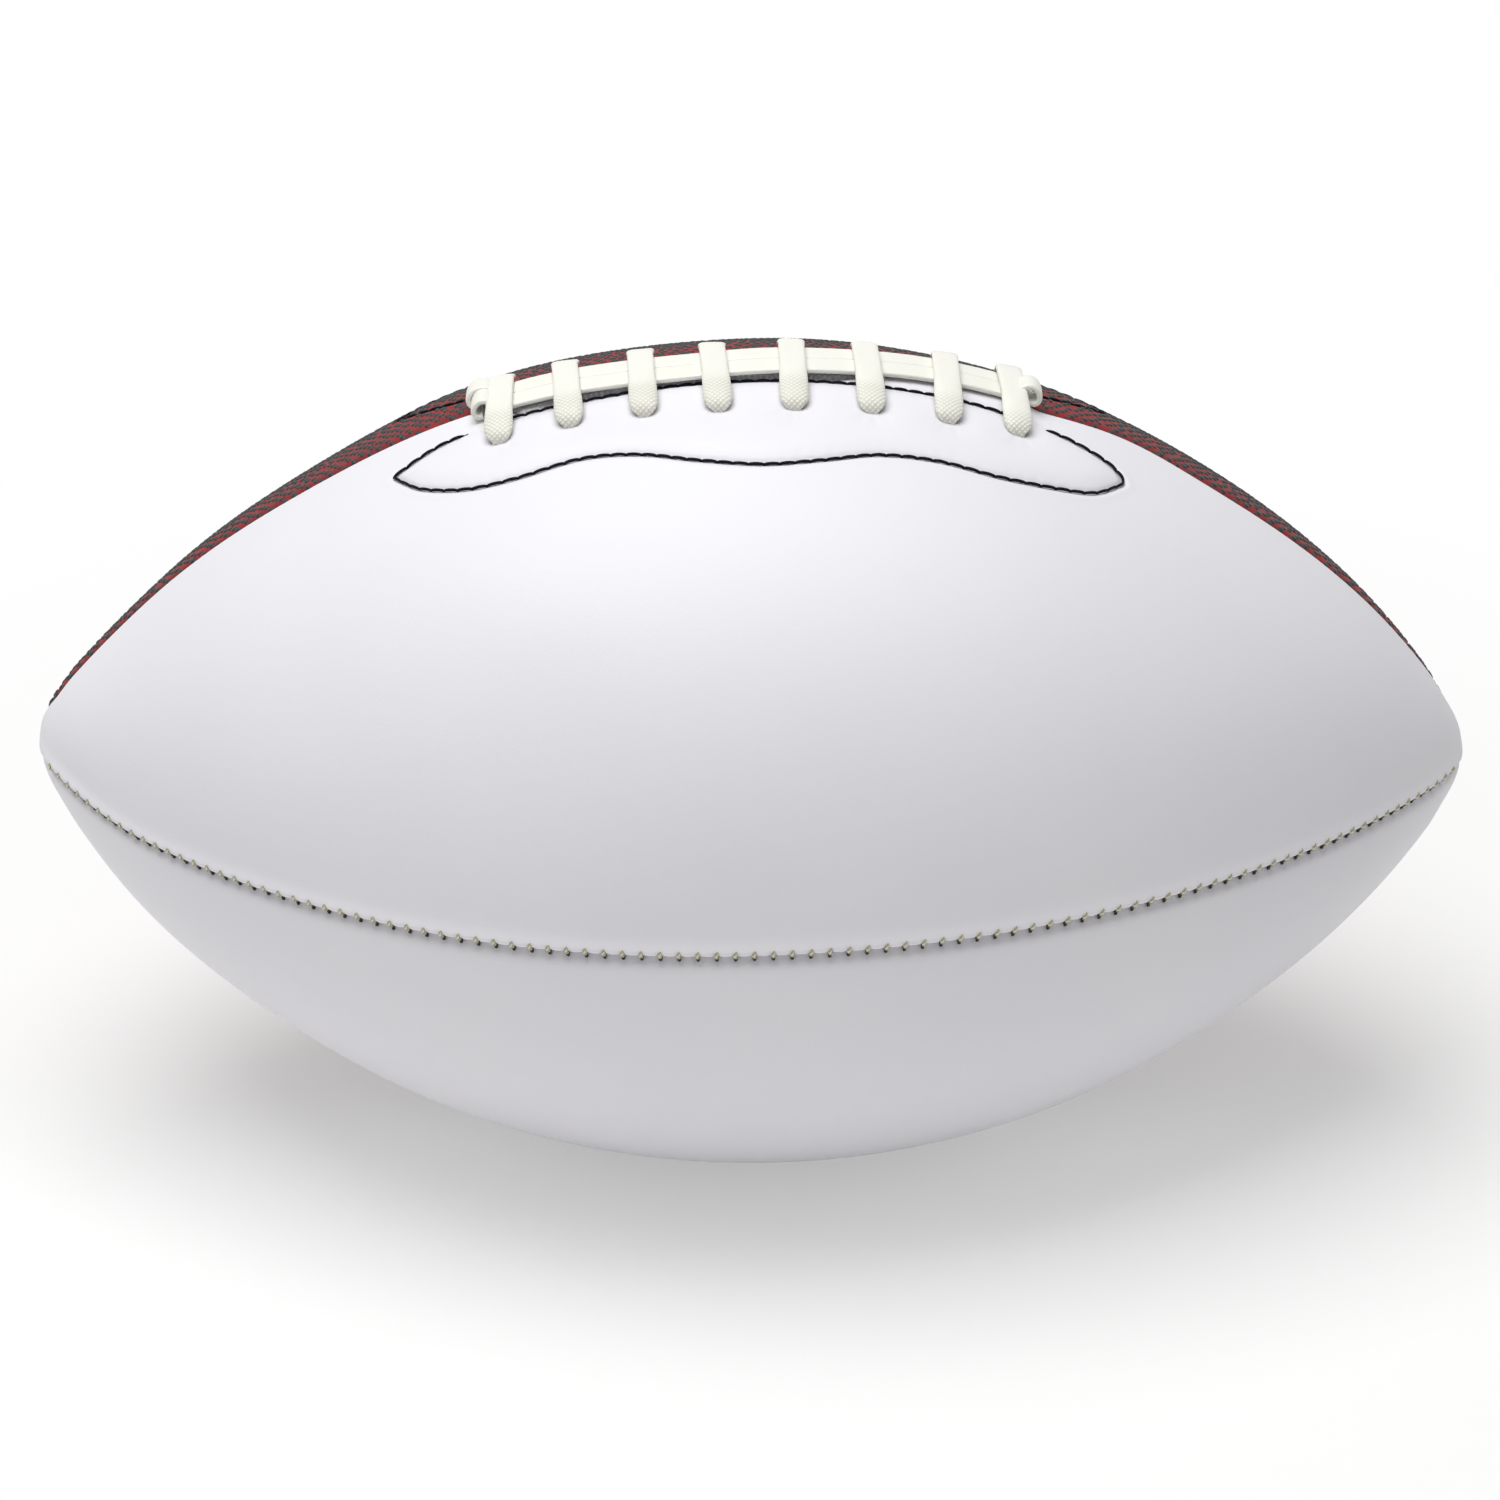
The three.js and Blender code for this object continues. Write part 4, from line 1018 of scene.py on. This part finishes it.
def lace_body():
    chosen = lace_route()
    stations = through(chosen, np.maximum(chosen[:-1, 7], chosen[1:, 7]))
    x, offset, height, twist, width, thick, woven, _ = stations.T
    s = along(x, height)
    turn = offset / side_view(s)[1]
    centres = place(s, turn, height)
    ahead, across, _ = directions(s, turn)
    level = BAR_LEVEL * smooth(height, *BAR_LEVEL_HEIGHTS)[:, None]
    ahead = ahead * (1 - level) + level * np.array([math.cos(BAR_TILT), 0, math.sin(BAR_TILT)])
    wide = across * np.cos(twist)[:, None] + ahead * np.sin(twist)[:, None]
    travel = unit(np.gradient(centres, axis=0))
    up = unit(np.cross(travel, wide))
    wide = np.cross(up, travel)
    angle = angles(SECTION_POINTS)
    puffed = np.clip(PUFFING * (thick - LACE_THICKNESS), 0, 1)[:, None]
    beside = np.abs(np.cos(angle)) ** (FLAT_SIDE_POWER + (ROUND_SIDE_POWER - FLAT_SIDE_POWER) * puffed)
    bulge = np.maximum(1 - beside, 0) ** (FLAT_TOP_POWER + (ROUND_TOP_POWER - FLAT_TOP_POWER) * puffed)
    outside = centres - up * thick[:, None] / 2
    run = distances(outside)[:, None]
    v = np.cos(angle) * width[:, None] / 2
    rate = math.pi / WEAVE_PITCH
    weave = np.abs(np.sin((run + v) * rate) * np.sin((run - v) * rate))
    relief = WEAVE_DEPTH * np.clip(woven, 0, 1)[:, None] * (weave - 0.5)
    rise = np.sign(np.sin(angle)) * bulge * (thick[:, None] / 2 + relief)
    rings = centres[:, None] + wide[:, None] * v[..., None] + up[:, None] * rise[..., None]
    return body(rings, flat_map(run, v))


# Inner layers
RUMPLE_HEIGHT = 0.05  # of loose cloth
RUMPLE_LENGTH = 4.1
RUMPLE_WIDTH = 3.7


def layer(s, start, first_offset, second_offset, top, bottom, columns, rise=None, crowding=1):
    """A closed sheet between two depths and two edges, with columns that may crowd near its first edge."""
    s = s[:, None]
    x, r, _, _ = side_view(s)
    share = np.linspace(0, 1, columns) ** crowding
    offset = first_offset[:, None] + share * (second_offset - first_offset)[:, None]
    wave = RUMPLE_HEIGHT * np.sin(s / RUMPLE_LENGTH) * np.sin(offset / RUMPLE_WIDTH)
    if rise:
        wave = wave + rise(x, offset)
    upper = place(s, start + offset / r, -top + wave)
    lower = place(s, start + offset[:, ::-1] / r, -bottom + wave[:, ::-1])
    both = np.concatenate([offset, offset[:, ::-1]], 1)
    return [body(np.concatenate([upper, lower], 1), flat_map(s, both))]


LAYER_STEP = 1.2
LINING_EDGE = 2.3  # from a seam, clear of the panels' turned edges
LINING_END_S = FLANK_LENGTH - 14
LINING_GAP = 0.2  # from the slit's middle to the edge of an upper lining
LINING_COLUMNS = 56
LINING_CROWDING = 1.7
SLIT_LINING_END = (45.8, 47.8)  # how far the lining shows in the slit
SLIT_LINING_SIDE = (0.8, 1.0)  # its share of the slit's width
SLIT_LEAST_HALF = 0.5
DIVE_ROOM = 7  # lining's edge where the lace dives into the slit, between these places
DIVE_START = (46.8, 49.3)
DIVE_END = (53, 57)
PATCH_TOP_MARGIN = 0.4
PATCH_COLUMNS = 24
TONGUE_ROUNDING = 12
TONGUE_END_ROOM = 1.5
TONGUE_COLUMNS = 32
BLADDER_END_S = FLANK_LENGTH + 6
BLADDER_STEP = 2.5
BLADDER_COLUMNS = 120
BLADDER_GROOVE_DEPTH = 2.4  # under a seam
BLADDER_GROOVE_WIDTH = 3.5
BLADDER_DENT_END = 8  # how far its dent under the tongue runs on beyond it
BLADDER_DENT_SIDE = 46.32  # how far from the top it fades out
BLADDER_TONGUE_GAP = 0.6
lining_rows = np.arange(-LINING_END_S, LINING_END_S, LAYER_STEP)


def lining_slit_edge(side):
    """Edge of an upper lining: in the slit's middle, back from the diving lace, then along the seam."""
    x = side_view(lining_rows)[0]
    in_slit = side * slit_middle(x) + LINING_GAP
    edge = in_slit + (DIVE_ROOM - in_slit) * smooth(np.abs(x), *DIVE_START)
    return edge + (LINING_EDGE - DIVE_ROOM) * smooth(np.abs(x), *DIVE_END)


def slit_rise(side):
    """How far an upper lining swells up in the slit."""
    def rise(x, offset):
        half = (front_slit_edge(x) + back_slit_edge(x)) / 2
        beside = np.abs(offset - side * slit_middle(x)) / np.maximum(half, SLIT_LEAST_HALF)
        in_slit = 1 - smooth(np.abs(x), *SLIT_LINING_END)
        return LINING_RISE * in_slit * (1 - smooth(beside, *SLIT_LINING_SIDE))
    return rise


def lining(start, first_edge, rise=None):
    far_edge = QUARTER * side_view(lining_rows)[1] - LINING_EDGE
    edges = (start, first_edge, far_edge)
    return layer(lining_rows, *edges, LINING_TOP, LINING_BOTTOM, LINING_COLUMNS, rise, LINING_CROWDING)


def patch(upper, lower):
    """The cloth behind a sewn patch, a margin wider than its stitching."""
    low_x, low_offset = np.array(lower[::-1]).T
    top_x, top_offset = np.array(upper).T
    rows = np.arange(low_x[0], top_x[-1], LAYER_STEP)
    top = np.interp(rows, top_x, top_offset) - PATCH_TOP_MARGIN
    low = np.interp(rows, low_x, low_offset) + PATCH_MARGIN
    return layer(along(rows), 0, top, low, PATCH_TOP, PATCH_BOTTOM, PATCH_COLUMNS)


def tongue():
    rows = np.arange(-TONGUE_END_X, TONGUE_END_X, LAYER_STEP)
    reach = np.abs(rows) / (TONGUE_END_X + TONGUE_END_ROOM)
    half = TONGUE_HALF_WIDTH * np.sqrt(np.maximum(1 - reach**TONGUE_ROUNDING, 0))
    return layer(along(rows), 0, -half, half, TONGUE_TOP, TONGUE_BOTTOM, TONGUE_COLUMNS)


def bladder():
    """A thin balloon with a groove under each seam and a dent under the tongue."""
    s = np.arange(-BLADDER_END_S, BLADDER_END_S, BLADDER_STEP)[:, None]
    turn = np.linspace(0, 4 * QUARTER, BLADDER_COLUMNS, endpoint=False)
    x, r, _, _ = side_view(s)
    to_seam = r * np.abs((turn / QUARTER + 0.5) % 1 - 0.5) * QUARTER
    to_top = r * np.minimum(turn, 4 * QUARTER - turn)
    depth = BLADDER_TIP_DEPTH + (BLADDER_DEPTH - BLADDER_TIP_DEPTH) * smooth(r, TIP_RADIUS, 2 * TIP_RADIUS)
    depth = depth + BLADDER_GROOVE_DEPTH * bell(to_seam, BLADDER_GROOVE_WIDTH)
    under_tongue = 1 - smooth(np.abs(x), TONGUE_END_X, TONGUE_END_X + BLADDER_DENT_END)
    under_tongue = under_tongue * (1 - smooth(to_top, TONGUE_HALF_WIDTH, BLADDER_DENT_SIDE))
    depth = np.maximum(depth, depth + (TONGUE_BOTTOM + BLADDER_TONGUE_GAP - depth) * under_tongue)
    skin = place(s, turn + 0 * s, -depth)
    inside = place(s, turn + 0 * s, -depth - BLADDER_WALL)[::-1]
    rings = np.concatenate([skin, inside])
    flat = flat_map(s, r * turn)
    return [body(rings, np.concatenate([flat, flat[::-1]]), True)]


# Valve

def turned(profile, loops):
    """A round body about the valve's axis, from radii and depths below the ball's surface."""
    radius, depth = np.array(profile).T
    ahead = np.array([1, 0, 0])
    side = np.cross(VALVE_AXIS, ahead)
    angle = angles(VALVE_SIDES)
    ring = np.cos(angle)[:, None] * ahead + np.sin(angle)[:, None] * side
    rings = radius[:, None, None] * ring + (GIRTH_RADIUS - depth)[:, None, None] * VALVE_AXIS
    flat = flat_map(depth[:, None], radius[:, None] * angle)
    return [body(rings + BALL_MIDDLE, flat, loops)]


def valve_body():
    rim = VALVE_RIM
    bevel = ROUNDED * rim
    foot = VALVE_RECESS + VALVE_LENGTH
    flange_low = VALVE_FLANGE_DEPTH + VALVE_FLANGE_THICKNESS
    return turned(
        (
            (VALVE_BORE_RADIUS, foot), (VALVE_NECK_RADIUS - rim, foot), (VALVE_NECK_RADIUS, foot - rim),
            (VALVE_NECK_RADIUS, flange_low), (VALVE_FLANGE_RADIUS - rim, flange_low),
            (VALVE_FLANGE_RADIUS, flange_low - rim), (VALVE_FLANGE_RADIUS, VALVE_FLANGE_DEPTH + rim),
            (VALVE_FLANGE_RADIUS - rim, VALVE_FLANGE_DEPTH), (VALVE_NECK_RADIUS, VALVE_FLANGE_DEPTH),
            (VALVE_NECK_RADIUS, VALVE_RECESS + rim), (VALVE_NECK_RADIUS - bevel, VALVE_RECESS + bevel),
            (VALVE_NECK_RADIUS - rim, VALVE_RECESS), (VALVE_BORE_RADIUS + rim, VALVE_RECESS),
            (VALVE_BORE_RADIUS, VALVE_RECESS + rim),
        ),
        True,
    )


def valve_core():
    rim = VALVE_CORE_RIM
    bevel = ROUNDED * rim
    top = VALVE_RECESS + VALVE_CORE_RECESS
    return turned(
        (
            (VALVE_CORE_RADIUS, VALVE_RECESS + VALVE_LENGTH), (VALVE_CORE_RADIUS, top + rim),
            (VALVE_CORE_RADIUS - bevel, top + bevel), (VALVE_CORE_RADIUS - rim, top),
            (NEEDLE_HOLE_RADIUS + rim, top), (NEEDLE_HOLE_RADIUS + bevel, top + bevel),
            (NEEDLE_HOLE_RADIUS, top + rim), (NEEDLE_HOLE_RADIUS, top + NEEDLE_HOLE_DEPTH),
        ),
        False,
    )


# Materials

def linear(red, green, blue):
    """A colour as seen on a screen, 0 to 255, as light."""
    def one(value):
        share = value / 255
        return share / 12.92 if share <= 0.04045 else ((share + 0.055) / 1.055) ** 2.4
    return one(red), one(green), one(blue), 1


def new_look(name, **constants):
    """A material with one surface shader, and its node tree."""
    look = bpy.data.materials.new(name)
    look.use_nodes = True
    surface = look.node_tree.nodes["Principled BSDF"]
    for socket, value in constants.items():
        surface.inputs[socket.replace("_", " ")].default_value = value
    return look, look.node_tree, surface


def add_node(tree, kind, inputs=None, **settings):
    """A node with its settings, and its inputs as values or as other nodes' outputs."""
    node = tree.nodes.new(kind)
    for key, value in settings.items():
        setattr(node, key, value)
    for socket, value in (inputs or {}).items():
        if isinstance(value, bpy.types.NodeSocket):
            tree.links.new(value, node.inputs[socket])
        else:
            node.inputs[socket].default_value = value
    return node


def maths(tree, operation, *values):
    return add_node(tree, "ShaderNodeMath", dict(enumerate(values)), operation=operation).outputs[0]


def eased(tree, value, low, high, to_low=0.0, to_high=1.0):
    """A value eased from one end to another."""
    inputs = {"Value": value, "From Min": low, "From Max": high, "To Min": to_low, "To Max": to_high}
    node = add_node(tree, "ShaderNodeMapRange", inputs, interpolation_type="SMOOTHSTEP")
    return node.outputs["Result"]


def mixed(tree, factor, first, second):
    """A colour between two others."""
    inputs = {"Factor": factor, "A": first, "B": second}
    return add_node(tree, "ShaderNodeMix", inputs, data_type="RGBA").outputs["Result"]


def noise(tree, scale, detail=2.0):
    position = add_node(tree, "ShaderNodeTexCoord").outputs["Object"]
    inputs = {"Vector": position, "Scale": scale, "Detail": detail}
    return add_node(tree, "ShaderNodeTexNoise", inputs).outputs["Fac"]


def flat_coordinates(tree):
    """Millimetres along and across a piece."""
    flat = add_node(tree, "ShaderNodeUVMap", uv_map="flat").outputs["UV"]
    parts = add_node(tree, "ShaderNodeSeparateXYZ", {"Vector": flat})
    return parts.outputs["X"], parts.outputs["Y"]


def ripple(tree, *terms):
    """The sine of a sum of values, each at its own rate."""
    total = 0.0
    for value, rate in terms:
        total = maths(tree, "MULTIPLY_ADD", value, rate, total)
    return maths(tree, "SINE", total)


def dress(tree, surface, colour, height, depth, strength, roughness=None):
    """Gives a surface its colour and the relief of its finish, in metres."""
    tree.links.new(colour, surface.inputs["Base Color"])
    inputs = {"Height": height, "Distance": depth, "Strength": strength}
    bump = add_node(tree, "ShaderNodeBump", inputs)
    tree.links.new(bump.outputs["Normal"], surface.inputs["Normal"])
    if roughness:
        tree.links.new(roughness, surface.inputs["Roughness"])


def white_leather():
    """Smooth coated leather: a fine even grain, faint clouding and a few shallow wrinkles."""
    look, tree, surface = new_look("white_leather")
    cloud = noise(tree, 24.0, 3.0)
    grain = noise(tree, 2100.0)
    wrinkle = noise(tree, 130.0, 4.0)
    colour = mixed(tree, cloud, linear(229, 228, 234), linear(236, 235, 239))
    height = maths(tree, "MULTIPLY_ADD", wrinkle, 1.6, grain)
    roughness = eased(tree, cloud, 0.3, 0.7, 0.44, 0.52)
    dress(tree, surface, colour, height, 0.00008, 0.35, roughness)
    return look


def red_leather():
    """Ground of the pebbled leather: a worn red with fine wrinkles."""
    look, tree, surface = new_look("red_leather", Specular_IOR_Level=0.25)
    worn = noise(tree, 260.0, 3.0)
    wrinkle = noise(tree, 900.0, 3.0)
    colour = mixed(tree, eased(tree, worn, 0.3, 0.7), linear(106, 26, 28), linear(140, 40, 40))
    height = maths(tree, "MULTIPLY_ADD", noise(tree, 2400.0), 0.4, wrinkle)
    dress(tree, surface, colour, height, 0.00012, 0.6, eased(tree, worn, 0.3, 0.7, 0.55, 0.68))
    return look


def dark_grain():
    """Worn dark finish of the grains that stand on the red leather."""
    look, tree, surface = new_look("dark_grain", Specular_IOR_Level=0.35)
    worn = noise(tree, 700.0)
    colour = mixed(tree, eased(tree, worn, 0.35, 0.65), linear(18, 27, 30), linear(40, 43, 45))
    roughness = eased(tree, worn, 0.3, 0.7, 0.42, 0.56)
    dress(tree, surface, colour, noise(tree, 2600.0), 0.00004, 0.5, roughness)
    return look


def lace_vinyl():
    """Coated woven lace: slanting crossed ribs under a skin, which is smoother along the lace's middle,
    with painted shade in the hollows between the ribs.
    """
    look, tree, surface = new_look("lace_vinyl")
    run, across = flat_coordinates(tree)
    rate = math.pi / WEAVE_PITCH
    rising = ripple(tree, (run, rate), (across, rate))
    falling = ripple(tree, (run, rate), (across, -rate))
    ribs = maths(tree, "ABSOLUTE", maths(tree, "MULTIPLY", rising, falling))
    position = add_node(tree, "ShaderNodeTexCoord").outputs["Object"]
    sideways = add_node(tree, "ShaderNodeSeparateXYZ", {"Vector": position}).outputs["Y"]
    open_weave = eased(tree, maths(tree, "ABSOLUTE", sideways), 0.006, 0.012, 0.2, 1.0)
    height = maths(tree, "MULTIPLY", ribs, open_weave)
    # painted shade: the colour is darker in the hollows between the ribs, more so where the weave opens
    # out towards the bars' ends
    painted_hollow_shade = maths(tree, "MULTIPLY", maths(tree, "SUBTRACT", 1.0, ribs), open_weave)
    colour = mixed(tree, eased(tree, painted_hollow_shade, 0.2, 1.0), linear(236, 236, 227), linear(214, 212, 199))
    roughness = eased(tree, noise(tree, 300.0), 0.3, 0.7, 0.34, 0.46)
    dress(tree, surface, colour, height, 0.00012, 0.6, roughness)
    return look


def thread(name, dark, light, radius, pitch, hole_shade_stretch=None):
    """Twisted thread of two plies, painted darker in the grooves between them as shade, and which may be
    painted dark along a stretch of each stitch as the shade of the hole it goes into.
    """
    look, tree, surface = new_look(name, Roughness=0.6, Specular_IOR_Level=0.1)
    run, across = flat_coordinates(tree)
    twist = ripple(tree, (run, 2 * math.pi / pitch), (across, 2 / radius))
    fibre = ripple(tree, (run, 10 * math.pi / pitch), (across, 12 / radius))
    height = maths(tree, "MULTIPLY_ADD", fibre, 0.2, twist)
    # painted shade: the colour follows the twist's height, darker in the grooves between the plies and
    # paler on them
    colour = mixed(tree, eased(tree, height, -1.2, 1.2), linear(*dark), linear(*light))
    # painted shade of the hole, over the stretch of each stitch that goes down into it
    if hole_shade_stretch:
        colour = mixed(tree, eased(tree, run, *hole_shade_stretch), colour, linear(*PAINTED_HOLE_SHADE))
    dress(tree, surface, colour, height, 0.00006, 0.7)
    return look


def cloth(name, dark, light, pitch):
    """Plain woven cloth, with painted shade in the hollows of its weave."""
    look, tree, surface = new_look(name, Roughness=0.9)
    u, v = flat_coordinates(tree)
    rate = math.pi / pitch
    weave = maths(tree, "MULTIPLY", ripple(tree, (u, rate)), ripple(tree, (v, rate)))
    # the colour mixes random wear with painted shade, darker in the hollows of the weave
    worn = maths(tree, "MULTIPLY_ADD", noise(tree, 180.0), 0.8, weave)
    colour = mixed(tree, eased(tree, worn, -0.8, 1.4), linear(*dark), linear(*light))
    dress(tree, surface, colour, weave, 0.0001, 0.8)
    return look


def rubber(name, dark, light):
    """Moulded rubber with a dusty bloom."""
    look, tree, surface = new_look(name)
    bloom = noise(tree, 90.0, 4.0)
    colour = mixed(tree, eased(tree, bloom, 0.35, 0.7), linear(*dark), linear(*light))
    roughness = eased(tree, bloom, 0.3, 0.7, 0.5, 0.75)
    dress(tree, surface, colour, noise(tree, 1500.0), 0.00006, 0.5, roughness)
    return look


# Painted shade of the hole that each seam stitch goes into
PAINTED_HOLE_SHADE = (64, 63, 44)
white = white_leather()
red = red_leather()
dark = dark_grain()
lace_look = lace_vinyl()
navy = thread("navy_thread", (1, 6, 13), (8, 18, 30), STITCH_RADIUS, 1.3)
# Each seam stitch is painted with the shade of its hole from 1.5 to 2.3 mm along it
cream = thread("cream_thread", (160, 154, 126), (230, 226, 206), SEAM_STITCH_RADIUS, 1.1, (1.5, 2.3))
lining_cloth = cloth("lining_cloth", (196, 193, 199), (230, 227, 230), 0.55)
patch_cloth = cloth("patch_cloth", (160, 155, 146), (196, 190, 180), 0.7)
tongue_cloth = cloth("tongue_cloth", (96, 93, 89), (134, 130, 125), 0.8)
bladder_rubber = rubber("bladder_rubber", (22, 22, 24), (44, 44, 46))
valve_rubber = rubber("valve_rubber", (16, 16, 16), (34, 34, 34))

# Pieces
quarters = {
    "front_upper": [front_upper.leather(UPPER_COLUMNS)],
    "front_lower": [front_lower.leather(LOWER_COLUMNS)],
    "back_upper": mirrored([back_upper.leather(UPPER_COLUMNS)]),
    "back_lower": mirrored([back_lower.leather(VALVE_COLUMNS)]),
}
for quarter, sheet in quarters.items():
    if quarter.startswith("front"):
        add_piece("leather_" + quarter, sheet, white, "panel_" + quarter)
    else:
        add_piece("leather_" + quarter, sheet, red, "panel_" + quarter)
upper_grains = mirrored([back_upper.grains(bare_beside_lace)])
lower_grains = mirrored([back_lower.grains(bare_at_valve)])
add_piece("grain_back_upper", upper_grains, dark, "panel_back_upper")
add_piece("grain_back_lower", lower_grains, dark, "panel_back_lower")

STITCH_END_S = FLANK_LENGTH + 2
TOP_SEAM_START = along(SLIT_END_X) + 1
TOP_SEAM_SINK = 1.4  # its stitches are hidden by the lapping edge
seams = {
    "front": seam_stitches(LAPPING_STITCH, QUARTER, -STITCH_END_S, STITCH_END_S, 0, front_seam),
    "bottom": seam_stitches(BUTTING_STITCH, 2 * QUARTER, -STITCH_END_S, STITCH_END_S),
    "back": mirrored(seam_stitches(LAPPING_STITCH, QUARTER, -STITCH_END_S, STITCH_END_S)),
    "top_left": seam_stitches(BUTTING_STITCH, 0, -STITCH_END_S, -TOP_SEAM_START, TOP_SEAM_SINK, top_seam),
    "top_right": seam_stitches(BUTTING_STITCH, 0, TOP_SEAM_START, STITCH_END_S, TOP_SEAM_SINK, top_seam),
}
for seam, stitches in seams.items():
    add_piece("stitches_" + seam, stitches, cream, "seam_thread_" + seam)

front_thread = patch_stitches(FRONT_PATCH_LINE, 0, 1)
back_thread = mirrored(patch_stitches(BACK_PATCH_LINE, GRAIN_HEIGHT, -1))
add_piece("patch_thread_front", front_thread, navy, "patch_stitching_front")
add_piece("patch_thread_back", back_thread, navy, "patch_stitching_back")
add_piece("lacing", [lace_body()], lace_look, "lace")

seam_side = np.full(len(lining_rows), LINING_EDGE)
linings = {
    "front_upper": lining(0, lining_slit_edge(1), slit_rise(1)),
    "front_lower": lining(QUARTER, seam_side),
    "back_upper": mirrored(lining(0, lining_slit_edge(-1), slit_rise(-1))),
    "back_lower": mirrored(lining(QUARTER, seam_side)),
}
for quarter, sheet in linings.items():
    add_piece("backing_" + quarter, sheet, lining_cloth, "lining_" + quarter)

front_patch = patch(FRONT_UPPER_RUN, FRONT_LOWER_RUN)
back_patch = mirrored(patch(BACK_UPPER_RUN, BACK_LOWER_RUN))
add_piece("reinforcement_front", front_patch, patch_cloth, "lace_patch_front")
add_piece("reinforcement_back", back_patch, patch_cloth, "lace_patch_back")
add_piece("tongue", tongue(), tongue_cloth, "lace_tongue")
add_piece("air_bladder", bladder(), bladder_rubber, "bladder")
add_piece("valve_sleeve", mirrored(valve_body()), valve_rubber, "valve_body")
add_piece("valve_plug", mirrored(valve_core()), valve_rubber, "valve_core")

# Stage: floor, light and camera, in metres
FLOOR_HALF = 6.0
FLOOR_COLOUR = (0.985, 0.98, 0.97, 1)
SHADOW_REACH = (0.1, 0.36)  # the floor is seen as white beyond the ball's shadow
SHADOW_LIGHTENING = 0.4
SKY_LIGHT = 0.245
KEY_PLACE = Vector((-0.2, -0.12, 1.35))
KEY_SIZE = 1.1
KEY_POWER = 16.8


def seen_directly(tree):
    """1 where the camera or a reflection sees a surface, 0 for the light that it gives."""
    path = add_node(tree, "ShaderNodeLightPath").outputs
    glossy = maths(tree, "MAXIMUM", path["Is Camera Ray"], path["Is Glossy Ray"])
    return maths(tree, "MAXIMUM", glossy, path["Is Transmission Ray"])


def floor_look():
    look, tree, surface = new_look("floor", Roughness=0.9, Base_Color=FLOOR_COLOUR)
    position = add_node(tree, "ShaderNodeNewGeometry").outputs["Position"]
    reach = add_node(tree, "ShaderNodeVectorMath", {0: position}, operation="LENGTH").outputs["Value"]
    white_share = eased(tree, reach, *SHADOW_REACH, SHADOW_LIGHTENING, 1.0)
    share = maths(tree, "MULTIPLY", seen_directly(tree), white_share)
    glow = add_node(tree, "ShaderNodeEmission").outputs["Emission"]
    shader = add_node(tree, "ShaderNodeMixShader", {0: share, 1: surface.outputs["BSDF"], 2: glow})
    tree.links.new(shader.outputs["Shader"], tree.nodes["Material Output"].inputs["Surface"])
    return look


floor_mesh = bpy.data.meshes.new("floor")
corners = [(x * FLOOR_HALF, y * FLOOR_HALF, 0) for x, y in ((-1, -1), (1, -1), (1, 1), (-1, 1))]
floor_mesh.from_pydata(corners, [], [(0, 1, 2, 3)])
floor_mesh.materials.append(floor_look())
floor = add_object("floor", floor_mesh)

world = bpy.data.worlds.new("studio")
bpy.context.scene.world = world
world.use_nodes = True
backdrop = world.node_tree.nodes["Background"]
backdrop.inputs["Color"].default_value = (1, 1, 1, 1)
strength = eased(world.node_tree, seen_directly(world.node_tree), 0.0, 1.0, SKY_LIGHT, 1.0)
world.node_tree.links.new(strength, backdrop.inputs["Strength"])

CENTRE = Vector(BALL_MIDDLE * MM)
key_data = bpy.data.lights.new("key", "AREA")
key_data.size = KEY_SIZE
key_data.energy = KEY_POWER
key = add_object("key", key_data)
key.location = KEY_PLACE
key.rotation_euler = (CENTRE - KEY_PLACE).to_track_quat("-Z", "Y").to_euler()

PICTURE_SIZE = 1500  # pixels of the photograph's frame
CENTRE_PIXEL = (753.2, 748.6)
FOCAL_PIXELS = 5180
SENSOR = 36
CAMERA_DISTANCE = 1.02
CAMERA_ELEVATION = math.radians(27.5)
CAMERA_ROLL = math.radians(-0.37)
camera_data = bpy.data.cameras.new("camera")
camera_data.sensor_width = SENSOR
camera_data.lens = FOCAL_PIXELS / PICTURE_SIZE * SENSOR
camera_data.shift_x = (PICTURE_SIZE / 2 - CENTRE_PIXEL[0]) / PICTURE_SIZE
camera_data.shift_y = (CENTRE_PIXEL[1] - PICTURE_SIZE / 2) / PICTURE_SIZE
camera = add_object("camera", camera_data)
direction = Vector((0, -math.cos(CAMERA_ELEVATION), math.sin(CAMERA_ELEVATION)))
camera.matrix_world = (
    Matrix.Translation(CENTRE + CAMERA_DISTANCE * direction)
    @ Matrix.Rotation(QUARTER - CAMERA_ELEVATION, 4, "X")
    @ Matrix.Rotation(CAMERA_ROLL, 4, "Z")
)
bpy.context.scene.camera = camera
bpy.context.scene.view_settings.view_transform = "Standard"
